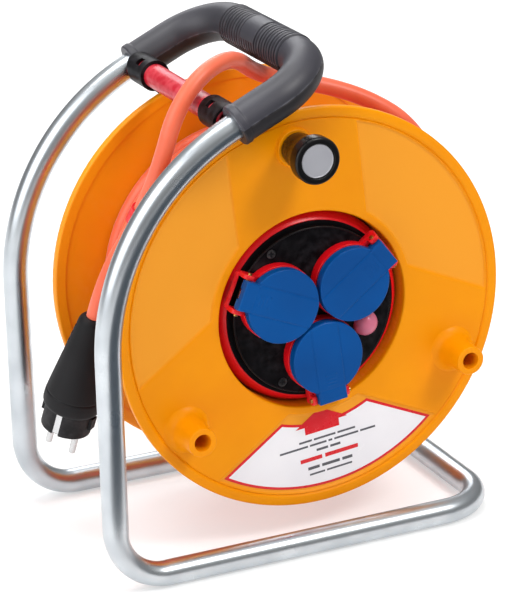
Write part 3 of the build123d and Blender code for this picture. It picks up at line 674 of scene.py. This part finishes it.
# Grip: two half shells with ribs round the middle and a smooth pad on top.
grip = {"armLength": 72.7, "halfWidth": 88.0, "start": 2.0, "bend": 38.0, "bore": 9.1, "radius": 13.8,
        "ribRadius": 14.8, "ribPitch": 4.0, "ribWidth": 2.2, "grooveRadius": 12.9, "ribReach": 48.0, "pad": 11.0,
        "padHigh": 15.0, "padTurn": 1.8, "padEdge": (0.92, 0.80), "collarRadius": 14.6, "collarLength": 6.0,
        "lip": 0.8, "seam": 0.1, "tilt": 25.0, "origin": (-51.39, 0, 317.73)}


def gripSpace(local):
    tilt = math.radians(grip["tilt"])
    x, y, z = np.moveaxis(np.asarray(local, float), -1, 0)
    origin = grip["origin"]
    return frameSpace(np.stack([origin[0] + x * math.cos(tilt) - z * math.sin(tilt), origin[1] + y,
                                origin[2] + x * math.sin(tilt) + z * math.cos(tilt)], -1))


def gripRadius(along, height, turn, upper):
    # Base radius, plus ribs where the bar is straight, a smooth pad on top and a flare at each end.
    values = grip
    bar = np.abs(height)
    onRibs = ease(bar, values["ribReach"] + 0.6, values["ribReach"] - 0.6)
    wave = np.abs((height / values["ribPitch"]) % 1 - 0.5) * values["ribPitch"]
    rib = ease(wave, values["ribWidth"] / 2 + 0.35, values["ribWidth"] / 2 - 0.35)
    onPad = ease(bar, values["pad"] + 0.5, values["pad"] - 0.5) * upper
    onPad = onPad * ease(np.abs(turn - values["padTurn"]), *values["padEdge"])
    ribbed = values["grooveRadius"] + (values["ribRadius"] - values["grooveRadius"]) * rib
    radius = values["radius"] + (ribbed - values["radius"]) * onRibs
    radius = radius * (1 - onPad) + values["padHigh"] * onPad
    flare = ease(along, values["collarLength"], values["collarLength"] - 1.5)
    lip = ease(along, 0.0, 1.0) - 1.0
    return radius + (values["collarRadius"] - values["radius"]) * flare + lip * values["lip"]


def makeGripShell(name, node, upper, material):
    # Half round section carried along the flat path of the handle; bore and end faces close it.
    values = grip
    arm, half = values["armLength"], values["halfWidth"]
    corners = [(values["start"], -half, 0), (arm, -half, 0), (arm, half, 0), (values["start"], half, 0)]
    centres, _ = bentPath(corners, [0, values["bend"], values["bend"], 0], bendStep=1.6, runStep=0.42)
    steps = np.linalg.norm(np.diff(centres, axis=0), axis=1)
    along = np.concatenate([[0], np.cumsum(steps)])
    fromEnd = np.minimum(along, along[-1] - along)
    ahead = unit(np.gradient(centres, axis=0))
    outward = np.stack([ahead[:, 1], -ahead[:, 0], 0 * ahead[:, 0]], -1)
    up = np.array((0.0, 0.0, 1.0))
    turn = np.linspace(0, np.pi, 41)[None]
    onBar = np.abs(centres[:, 0] - arm) < 0.01
    height = np.where(onBar, centres[:, 1], 1000.0)[:, None]
    radius = gripRadius(fromEnd[:, None], height, turn, upper)
    sign = 1 if upper else -1

    def ring(size):
        flat = centres[:, None] + outward[:, None] * (size * np.cos(turn))[..., None]
        return flat + up * sign * np.maximum(size * np.sin(turn), values["seam"])[..., None]

    outer, inner = ring(radius), ring(np.full_like(radius, values["bore"]))
    edges = np.stack([inner[:, 0], outer[:, 0]], 1), np.stack([outer[:, -1], inner[:, -1]], 1)
    ends = np.stack([outer[0], inner[0]], 0), np.stack([outer[-1], inner[-1]], 0)
    patches = [patch(gripSpace(part)) for part in (outer, inner, *edges, *ends)]
    makePiece(name, patches, "frame", material, (node,), 32)


makeGripShell("gripUpper", "grip_upper_shell", True, "gripGrey")
makeGripShell("gripLower", "grip_lower_shell", False, "gripDark")
print("grip is made")


# Front flange: raised bands between three sunk panels, a rolled rim and a rounded opening.
flange = {"opening": 71.0, "flat": 74.0, "ringOut": 77.0, "panelOut": 135.6, "outer": 145.0, "front": 62.0,
          "sunk": 1.5, "back": 57.5, "lipBack": 54.0, "crown": 63.0, "bandHalf": 49.0, "edge": 0.9, "round": 0.8,
          "angle": 95.9, "postCircle": 120.0, "bandColumns": 42, "panelColumns": 56,
          "boss": [(4.3, 61.6), (14.2, 61.6), (13.3, 63.0), (13.0, 65.5), (4.3, 65.5)]}


def flangeAngles(values, radius):
    # Columns follow the edges of the bands: at radius r an edge lies asin(offset / r) off the band's middle.
    half, edge = values["bandHalf"], values["edge"]
    slope = np.array([-0.5, 0.0, 0.5])
    offsets = np.concatenate([np.linspace(-half + edge, half - edge, values["bandColumns"]),
                              half + edge * slope])
    sunkness = np.concatenate([np.zeros(values["bandColumns"]), ease(slope, -1, 1)])
    start = np.arcsin(np.clip((half + edge) / radius, -1, 1))
    between = np.linspace(0, 1, values["panelColumns"])
    angles, sunk = [], []
    for turn in range(3):
        middle = math.radians(values["angle"] + 120 * turn)
        angles.append(middle + np.arcsin(np.clip(offsets / radius, -1, 1)))
        angles.append(middle + start + (2 * np.pi / 3 - 2 * start) * between)
        angles.append(middle + 2 * np.pi / 3 - np.arcsin(np.clip((half - edge * slope) / radius, -1, 1)))
        sunk += [sunkness, np.ones(values["panelColumns"]), ease(-slope, -1, 1)]
    return np.concatenate(angles, -1), np.concatenate(sunk)


def flangeFace(values):
    # Rows run from the opening over the face, round the rim and back along the inner face.
    ring, panelOut, soft = values["ringOut"], values["panelOut"], values["round"]
    top, rise, outer, behind = values["front"], values["crown"], values["outer"], values["back"]
    ringEdge = ring + np.linspace(-1, 1, 5) * soft
    panelEdge = panelOut + np.linspace(-1, 1, 5) * soft
    face = np.concatenate([np.linspace(values["flat"], ringEdge[0], 3)[:-1], ringEdge,
                           np.linspace(ringEdge[-1], panelEdge[0], 34)[1:-1], panelEdge])
    faceWeight = ease(face, ring - soft, ring + soft) * ease(face, panelOut + soft, panelOut - soft)
    lip = softCorners([(values["opening"], values["lipBack"]), (values["opening"], top), (values["flat"], top)],
                      2.2, 6)[:-1]
    rim = softCorners([(136.5, top), (137.1, top - 0.9), (138.2, rise - 0.2), (141.2, rise), (outer, rise - 0.4),
                       (outer, behind - 0.9), (138.2, behind - 0.9), (136.8, behind)], 1.4, 4)
    back = np.array([(120, behind), (100, behind), (80, behind), (values["flat"], behind),
                     (73.8, values["lipBack"])])
    radius = np.concatenate([lip[:, 0], face, rim[:, 0], back[:, 0]])
    height = np.concatenate([lip[:, 1], np.full(len(face), top), rim[:, 1], back[:, 1]])
    weight = np.concatenate([np.zeros(len(lip)), faceWeight, np.zeros(len(rim) + len(back))])
    angles, sunk = flangeAngles(values, radius[:, None])
    panel = weight[:, None] * sunk
    z = height[:, None] - values["sunk"] * panel
    points = np.stack([radius[:, None] * np.cos(angles), radius[:, None] * np.sin(angles), z], -1)
    return patch(reelSpace(points), True, True, mask=panel)


def makeFrontFlange(values):
    boss = softCorners(values["boss"], values["round"], 4, closed=True)
    crank = polar(values["postCircle"], values["angle"])
    makePiece("frontFlange", [flangeFace(values), turned(boss, crank, 64, True)], "drum",
              "orangePlastic", ("front_flange",), 38)


# turn is how far round from the crank each foot stands
foot = {"turns": {"left": 120, "right": 240}, "corners": [0, 0.1, 2.2, 3.0, 3.0, 1.0, 0.8, 0.6, 0],
        "outline": [(0, 61.4), (19.0, 61.4), (16.2, 62.2), (12.6, 66.0), (10.7, 74.0), (10.3, 89.0), (6.0, 89.0),
                    (5.9, 67.0), (0, 67.0)]}


def makeFoot(side, turn, values):
    # Hollow post that grows out of the face with a wide skirt; the bore is a blind hole.
    place = polar(flange["postCircle"], flange["angle"] + turn)
    profile = softCorners(values["outline"], values["corners"], 6)
    makePiece(f"foot{side.capitalize()}", [turned(profile, place, 72)], "drum",
              "orangePlastic", (f"flange_foot_{side}",), 40)


makeFrontFlange(flange)
for side, turn in foot["turns"].items():
    makeFoot(side, turn, foot)
print("front flange and feet are made")


# Crank knob: flared sleeve with a plain silver cap in its recess.
# outlines are (radius from the knob's axis, height); corners are the rounding at each point
knob = {"sleeve": [(4.1, 65.9), (11.3, 65.9), (12.4, 73.9), (12.9, 80.0), (14.6, 86.0), (16.5, 90.0),
                   (16.5, 98.6), (15.4, 99.9), (12.2, 99.9), (11.9, 97.2), (8.5, 97.0), (8.5, 93.7), (4.1, 93.7)],
        "sleeveCorners": [0.1, 0.8, 2, 3, 3, 1.6, 1.0, 0.8, 0.6, 0.3, 0.1, 0.1, 0.1],
        "cap": [(0, 96.5), (8.3, 96.5), (8.3, 97.1), (11.6, 97.1), (11.6, 98.2), (10.9, 98.8), (0, 98.8)],
        "capCorners": [0, 0.1, 0.1, 0.1, 0.4, 0.3, 0],
        "rim": [(11.7, 97.1), (11.7, 98.95), (11.0, 99.05), (10.6, 98.7), (10.6, 97.1)], "rimCorners": 0.35}


def makeKnob(values):
    place = polar(flange["postCircle"], flange["angle"])
    sleeve = softCorners(values["sleeve"], values["sleeveCorners"], 5, closed=True)
    makePiece("knobSleeve", [turned(sleeve, place, 96, True)], "crank_handle", "knobBlack",
              ("crank_knob",), 42)
    cap = softCorners(values["cap"], values["capCorners"], 4)
    rim = softCorners(values["rim"], values["rimCorners"], 3, closed=True)
    makePiece("knobCap", [turned(cap, place, 72), turned(rim, place, 72, True)], "crank_handle",
              "capSilver", ("knob_cap",), 40)


makeKnob(knob)


# Sockets: a red collar with hinge lugs and a blue lid for each well.
socket = {"circle": 31.5, "angles": {"right": 37.0, "left": 157.0, "bottom": 277.0}, "lidRadius": 26.5,
          "tabHalf": 10.5, "tabEnd": 33.4, "top": 78.0, "low": 70.3, "tabLow": 72.1, "lidBore": 24.7,
          "lidWall": 1.8, "hingeOut": 30.5, "hingeUp": 71.5, "rollers": (3.9, 10.3), "lugWidth": 3.2, "wall": 1.9,
          "play": 0.5, "base": 62.0, "ripples": 4, "rippleFrom": 12.5, "rippleStep": 2.6, "rippleHigh": 0.3}


def socketSpace(local, angle):
    # The socket's own space has the hinge on +x; it turns to its angle and sits on the socket circle.
    turn = math.radians(angle)
    x, y, z = np.moveaxis(np.asarray(local, float), -1, 0)
    middle = polar(socket["circle"], angle)
    return reelSpace(np.stack([middle[0] + x * math.cos(turn) - y * math.sin(turn),
                               middle[1] + x * math.sin(turn) + y * math.cos(turn), z], -1))


def lidAngles(values):
    # Directions crowd at the two corners of the tab and where it leaves the disc.
    corner = math.atan2(values["tabHalf"], values["tabEnd"])
    leave = math.asin(values["tabHalf"] / values["lidRadius"])
    marks = np.concatenate([np.linspace(-corner, corner, 41), corner + np.linspace(0.002, leave - corner, 14),
                            np.linspace(leave + 0.02, 2 * np.pi - leave - 0.02, 150),
                            2 * np.pi - leave + np.linspace(0, leave - corner - 0.002, 14)])
    return np.unique(np.mod(marks, 2 * np.pi))


def lidEdge(values, angles):
    # Distance to the edge for every direction: a disc joined with the hinge tab, the larger of the two.
    half, end = values["tabHalf"], values["tabEnd"]
    cosine, sine = np.cos(angles), np.abs(np.sin(angles))
    tab = np.where(cosine > 0, np.minimum(end / np.maximum(cosine, 1e-9), half / np.maximum(sine, 1e-9)), 0)
    return np.maximum(values["lidRadius"], tab)


def crossRoll(profile, angle, low, high, place, sides=28):
    # A short roller along the hinge line: each (radius, part of the way) goes round it.
    profile = np.asarray(profile, float)
    turn = np.linspace(0, 2 * np.pi, sides, endpoint=False)
    radius, part = profile[:, :1], profile[:, 1:]
    local = np.stack([place[0] + radius * np.cos(turn), low + (high - low) * part + 0 * turn,
                      place[1] + radius * np.sin(turn)], -1)
    return patch(socketSpace(local, angle), False, True)


def makeLid(side, angle, values):
    # Rows of the outline drawn in towards the middle; a strip as wide as the tab stands a little proud.
    angles = lidAngles(values)
    edge = lidEdge(values, angles)
    top, low = values["top"], values["low"]
    onTab = ease(edge * np.cos(angles), 26.7, 28.5) * (np.abs(np.sin(angles) * edge) < values["tabHalf"] + 0.1)
    under = low + (values["tabLow"] - low) * onTab
    fractions = np.concatenate([np.linspace(0, 0.94, 40), [0.955]])
    rows = [(edge * f, np.full_like(edge, top)) for f in fractions]
    for inset, drop in ((0.75, 0.06), (0.38, 0.26), (0.12, 0.62), (0.0, 1.1)):
        rows.append((edge - inset, np.full_like(edge, top - drop)))
    rows += [(edge, top - 0.45 * (top - under)), (edge, under + 0.5), (edge - 0.4, under)]
    inner = np.minimum(edge - values["lidWall"], values["lidBore"])
    rows += [(inner, under), (inner - 0.1, np.full_like(edge, top - 2.4)),
             (0 * edge, np.full_like(edge, top - 2.2))]
    radius = np.stack([row[0] for row in rows])
    height = np.stack([row[1] for row in rows])
    x, y = radius * np.cos(angles), radius * np.sin(angles)
    face = np.zeros(len(rows))
    face[:len(fractions)] = 1
    face[len(fractions):len(fractions) + 4] = (0.95, 0.8, 0.5, 0.2)
    strip = ease(np.abs(y), values["tabHalf"] - 0.15, values["tabHalf"] - 1.0) * ease(x, -26.0, -25.0)
    groove = ease(np.abs(np.abs(y) - (values["tabHalf"] - 0.1)), 0.7, 0.1) * ease(x, 30.0, 29.0)
    fold = ease(np.abs(x - 23.5), 0.9, 0.2) * (np.abs(y) < values["tabHalf"])
    height = height + face[:, None] * (0.35 * strip - 0.35 * groove - 0.3 * fold - 0.35)
    for line in range(values["ripples"]):
        away = np.abs(x - values["rippleFrom"] - values["rippleStep"] * line + 0.02 * y ** 2)
        height = height + face[:, None] * values["rippleHigh"] * ease(away, 0.7, 0.2) * ease(np.abs(y), 4.6, 4.0)
    local = np.stack([x, y, height], -1)
    patches = [patch(socketSpace(local, angle), False, True)]
    roll = [(0, 0), (2.6, 0), (2.95, 0.06), (2.95, 0.94), (2.6, 1), (0, 1)]
    near, far = values["rollers"]
    for start, end in ((-far, -near), (near, far)):
        patches.append(crossRoll(roll, angle, start, end, (values["hingeOut"], values["hingeUp"])))
    makePiece(f"lid{side.capitalize()}", patches, f"cover_{side}", "bluePlastic",
              (f"lid_{side}",), 34)


def raisedShape(plan, low, high, angle):
    # Walls, top and floor of a ring-like plan: its first half faces its second half point by point.
    count = len(plan) // 2
    inner, outer = plan[:count], plan[count:][::-1]
    rows = [(inner, low), (inner, high), (outer, high), (outer, low)]
    local = np.stack([np.column_stack([line, np.full(count, z)]) for line, z in rows])
    ends = [local[:, :1], local[:, -1:]]
    caps = [np.stack([end[:2, 0], end[:1:-1, 0]]) for end in ends]
    return [patch(socketSpace(local, angle), True)] + [patch(socketSpace(cap, angle)) for cap in caps]


def makePinEnds(values):
    # Domed brass ends of the hinge pins, just proud of the lugs.
    dome = [(0, 0), (1.7, 0), (1.7, 0.55), (1.2, 0.85), (0, 1)]
    hinge = values["hingeOut"], values["hingeUp"]
    patches = []
    for angle in values["angles"].values():
        for way in (-1, 1):
            start = way * (values["tabHalf"] + values["play"] + values["lugWidth"] - 0.2)
            patches.append(crossRoll(dome, angle, start, start + way * 0.7, hinge, 20))
    makePiece("pinEnds", patches, "frame", "brass", (), 40)


def makeCollar(side, angle, values):
    # A ring round the well, then two lugs that stand up beside the tab and hold the hinge pin.
    base = values["base"]
    ring = softCorners([(24.05, base), (27.2, base), (27.0, 69.6), (24.05, 69.6)], 0.5, 4, closed=True)
    angles = np.linspace(0, 2 * np.pi, 110, endpoint=False)
    r, z = ring[:, :1], ring[:, 1:]
    patches = [patch(socketSpace(np.stack([r * np.cos(angles), r * np.sin(angles), z + 0 * angles], -1), angle),
                     True, True)]
    # walls beside and beyond the tab follow its outline; the lugs stand where the pin goes in
    half, wall, end = values["tabHalf"] + values["play"], values["wall"], values["tabEnd"] + 0.9
    thick = half + wall
    plan = softCorners([(20.0, half), (end, half), (end, -half), (20.0, -half), (20.0, -thick),
                        (end + wall, -thick), (end + wall, thick), (20.0, thick)], 0.5, 3, closed=True)
    patches += raisedShape(plan, base, base + 2.6, angle)
    for way in (-1, 1):
        outline = softCorners([(20.5, base), (end + 0.4, base), (end + 0.4, 71.6), (33.0, 73.6), (30.2, 74.0),
                               (27.3, 73.4), (27.3, 69.6), (21.0, 69.6)], [0.2, 0.4, 1.4, 1.0, 1.0, 0.6, 0.4, 0.3],
                              4, closed=True)
        middle = outline.mean(0)
        low, high = sorted((way * half, way * (half + values["lugWidth"])))
        shrink = np.array([0.0, 0.95, 1.0, 1.0, 0.95, 0.0])
        depth = np.array([low, low, low + 0.3, high - 0.3, high, high])
        shape = middle + (outline - middle) * shrink[:, None, None]
        across = np.broadcast_to(depth[:, None], shape.shape[:2])
        local = np.stack([shape[..., 0], across, shape[..., 1]], -1)
        patches.append(patch(socketSpace(local, angle), False, True))
    makePiece(f"collar{side.capitalize()}", patches, "frame", "redPlastic",
              (f"socket_collar_{side}",), 40)


for side, angle in socket["angles"].items():
    makeLid(side, angle, socket)
    makeCollar(side, angle, socket)
makePinEnds(socket)
print("lids and collars are made")


# Label: plain printed film with a red border and a red arrow towards the middle.
label = {"inner": 85.0, "outer": 133.5, "half": 51.0, "angle": 275.9, "low": 60.5, "film": 0.3, "border": 1.9,
         "arrow": [(-23.6, -86.3), (-3.2, -74.3), (17.2, -86.3), (10.2, -86.3), (10.2, -92.0), (-16.6, -92.0),
                   (-16.6, -86.3)]}


def labelArc(values, inset):
    # Half angle of the label at each radius: its sides are parallel to the neighbouring bands.
    inner, outer = values["inner"] + inset, values["outer"] - inset
    radius = np.linspace(inner, outer, 16)
    half = math.pi / 3 - np.arcsin((values["half"] + inset) / radius)
    return radius, half


def labelSheet(values, inset, low, high, columns=60):
    radius, half = labelArc(values, inset)
    part = np.linspace(-1, 1, columns)
    angles = math.radians(values["angle"]) + half[:, None] * part
    r = radius[:, None] + 0 * part
    face = np.stack([r * np.cos(angles), r * np.sin(angles), np.full_like(angles, high)], -1)
    back = face.copy()
    back[..., 2] = low
    edges = [np.stack([face[0], back[0]]), np.stack([face[-1], back[-1]]),
             np.stack([face[:, 0], back[:, 0]]), np.stack([face[:, -1], back[:, -1]])]
    return [patch(reelSpace(surface)) for surface in (face, back, *edges)]


def flatShape(outline, low, high, values):
    # A closed outline, x across the label and y towards the middle of the drum, given a small thickness.
    outline = np.asarray(outline, float)
    turn = math.radians(values["angle"] + 90)
    middle = outline.mean(0)
    shrink = np.array([0.0, 1.0, 1.0, 0.0])
    depth = np.array([low, low, high, high])
    shape = middle + (outline - middle) * shrink[:, None, None]
    across, inwards = shape[..., 0], shape[..., 1]
    x = across * math.cos(turn) + inwards * -math.cos(turn - math.pi / 2)
    y = across * math.sin(turn) + inwards * -math.sin(turn - math.pi / 2)
    return patch(reelSpace(np.stack([x, y, np.broadcast_to(depth[:, None], x.shape)], -1)), False, True)


def bar(cx, cy, width, height):
    return [(cx - width / 2, cy - height / 2), (cx + width / 2, cy - height / 2),
            (cx + width / 2, cy + height / 2), (cx - width / 2, cy + height / 2)]


# place towards the rim, height, gap and widths of each printed row, and its ink
printedRows = [(-97.0, 1.5, 1.6, (10, 17, 14), "grey"), (-101.0, 1.5, 1.6, (22, 13, 3, 19, 12), "grey"),
               (-105.6, 1.8, 1.8, (9, 8), "grey"), (-111.4, 3.0, 2.4, (17, 26), "red"),
               (-118.2, 2.2, 2.0, (9, 14, 8), "grey"), (-123.0, 1.4, 1.5, (12, 20), "grey")]


def makeLabel(values):
    low = values["low"]
    film = low + values["film"]
    makePiece("labelBorder", labelSheet(values, 0.0, low - 0.2, film - 0.06), "drum", "printRed",
              ("label",), 50)
    makePiece("labelFilm", labelSheet(values, values["border"], low - 0.1, film), "drum",
              "labelFilm", (), 50)
    ink = film + 0.05
    # y is minus the distance from the drum's middle
    head = flatShape(values["arrow"], low - 0.1, ink, values)
    makePiece("labelArrow", [head], "drum", "printRed", (), 50)
    greys, reds = [], []
    for y, height, gap, widths, colour in printedRows:
        x = -(sum(widths) + gap * (len(widths) - 1)) / 2
        for width in widths:
            bars = greys if colour == "grey" else reds
            bars.append(flatShape(bar(x + width / 2, y, width, height), low, ink, values))
            x += width + gap
    makePiece("labelLines", greys, "drum", "printGrey", (), 50)
    makePiece("labelRedLines", reds, "drum", "printRed", (), 50)


makeLabel(label)
print("label is made")


# Red carrier cup: its rim slopes from the plate down to the opening of the flange.
carrier = {"outer": 69.8, "inner": 66.8, "back": -10.0, "rimLow": 49.5, "lip": 63.4, "lipFront": 57.4}


def makeCarrier(values):
    # A closed outline of the cup's wall turned round the axle; the rim is a smooth cone with a soft nose.
    outer, inner, back = values["outer"], values["inner"], values["back"]
    rim, lip = values["rimLow"], values["lip"]
    outline = softCorners([(6.1, back - 10), (14, back - 10), (14, back), (outer, back), (outer, rim),
                           (outer - 2.4, rim + 5.0), (lip, values["lipFront"]), (lip, 54.4), (inner, 50.0),
                           (inner, back + 4), (14, back + 4), (14, back + 6), (6.1, back + 6)],
                          [0.2, 0.3, 0.3, 1, 1.5, 4, 0.7, 0.3, 1, 1, 0.3, 0.3, 0.2], 5, closed=True)
    makePiece("carrierCup", [turned(outline, (0, 0), 128, True)], "frame", "redPlastic",
              ("socket_carrier",), 40)


makeCarrier(carrier)


# Polished edge of the socket plate.
plateEdge = {"radius": 60.3, "top": 62.0}


def makePlateEdge(values):
    # A thin soft bead round the plate's rim.
    r, z = values["radius"], values["top"]
    bead = softCorners([(r - 1.3, z - 0.3), (r - 0.9, z + 0.22), (r - 0.1, z + 0.2), (r + 0.12, z - 0.6),
                        (r - 0.6, z - 0.9)], 0.3, 3, closed=True)
    makePiece("plateEdge", [turned(bead, (0, 0), 160, True)], "frame", "knobBlack", (), 60)


makePlateEdge(plateEdge)


# Plug: tapered rubber sleeve with grip notches at its sides and a soft shoulder.
plug = {"across": (12.5, -14.3, 0), "shoulder": 74.8, "notches": (9.0, 15.0, 21.0, 27.0, 33.0),
        "notchDepth": 1.1, "seamDepth": 0.35, "ledgeDepth": 0.45, "step": 0.55}


def makePlug(values):
    # Turned profile about the cable's end direction, less a row of notches on its two sides.
    top = cableRoute[-1] / mm
    down = unit(cableRoute[-1] - cableRoute[-2])
    across = np.array(values["across"], float)
    across = unit(across - down * np.dot(across, down))
    back = np.cross(down, across)
    end = values["shoulder"]
    profile = softCorners([(0, 0), (7.6, 0), (10.2, 2.4), (12.6, 15.6), (17.4, end - 30), (20.9, end - 9),
                           (20.9, end - 2.6), (19.6, end - 0.3), (17.0, end - 0.1), (0, end - 0.1)],
                          [0, 1.5, 3, 6, 14, 5, 1.4, 0.9, 0.2, 0], 8)
    lengths = np.concatenate([[0], np.cumsum(np.linalg.norm(np.diff(profile, axis=0), axis=1))])
    even = np.arange(0, lengths[-1], values["step"])
    profile = np.column_stack([np.interp(even, lengths, column) for column in profile.T])
    profile = np.vstack([profile, (0, end - 0.1)])
    turn = np.linspace(0, 2 * np.pi, 96, endpoint=False)
    radius, along = profile[:, :1], profile[:, 1:]
    side = ease(np.abs(np.cos(turn)), 0.80, 0.90)
    notch = sum(ease(np.abs(along - place), 1.5, 0.7) for place in values["notches"])
    seam = ease(np.abs(np.sin(turn)), 0.035, 0.0) * ease(along, 3, 6) * ease(along, end - 4, end - 7)
    radius = radius - values["notchDepth"] * notch * side * (radius > 7) - values["seamDepth"] * seam
    ledge = ease(np.abs(along - (end - 12)), 0.8, 0.2) * (radius > 16)
    radius = radius - values["ledgeDepth"] * ledge
    local = (radius * np.cos(turn))[..., None] * across + (radius * np.sin(turn))[..., None] * back
    points = (top + local + (along + 0 * turn)[..., None] * down) * mm
    return makePiece("plugSleeve", [patch(points, False, True)], "frame", "plugRubber",
                     ("plug_body",), 50)


plugSleeve = makePlug(plug)


# Every CAD node that stays visible gets its own finish.
finishes = {
    "wellBlack": ["socket_well_left", "socket_well_right", "socket_well_bottom", "thermal_cutout"],
    "blackPlastic": ["socket_plate", "strut_clip_front", "strut_clip_rear"],
    "screwBlack": ["plate_screws"],
    "redPlastic": ["cable_clip"],
    "strutRed": ["cross_strut"],
    "orangeInside": ["rear_flange", "drum_barrel"],
    "clearCap": ["reset_cap"],
    "plugRubber": ["plug_insert"],
    "springSteel": ["lid_spring_left", "lid_spring_right", "lid_spring_bottom", "earth_clips", "plug_pins",
                    "plug_earth_strips"],
    "brass": ["hinge_pins", "contact_sleeves", "slip_rings"],
    "plainSteel": ["drum_screws", "axle", "axle_nuts", "axle_spacer", "crank_pin", "rear_upright",
                   "tube_joiner"],
    "bushPlastic": ["hub_bush_rear", "hub_bush_front"],
    "printRed": ["reset_button"],
    "innerPlastic": ["slip_ring_disc", "brush_holder"],
    "carbonBlock": ["brushes"],
    "gasketRubber": ["lid_gasket_left", "lid_gasket_right", "lid_gasket_bottom"]}


def finishNodes(table):
    for material, names in table.items():
        for name in names:
            node = cadNodes[name]
            if not node.material_slots:
                node.data.materials.append(looks[material])
            for slot in node.material_slots:
                slot.material = looks[material]


finishNodes(finishes)
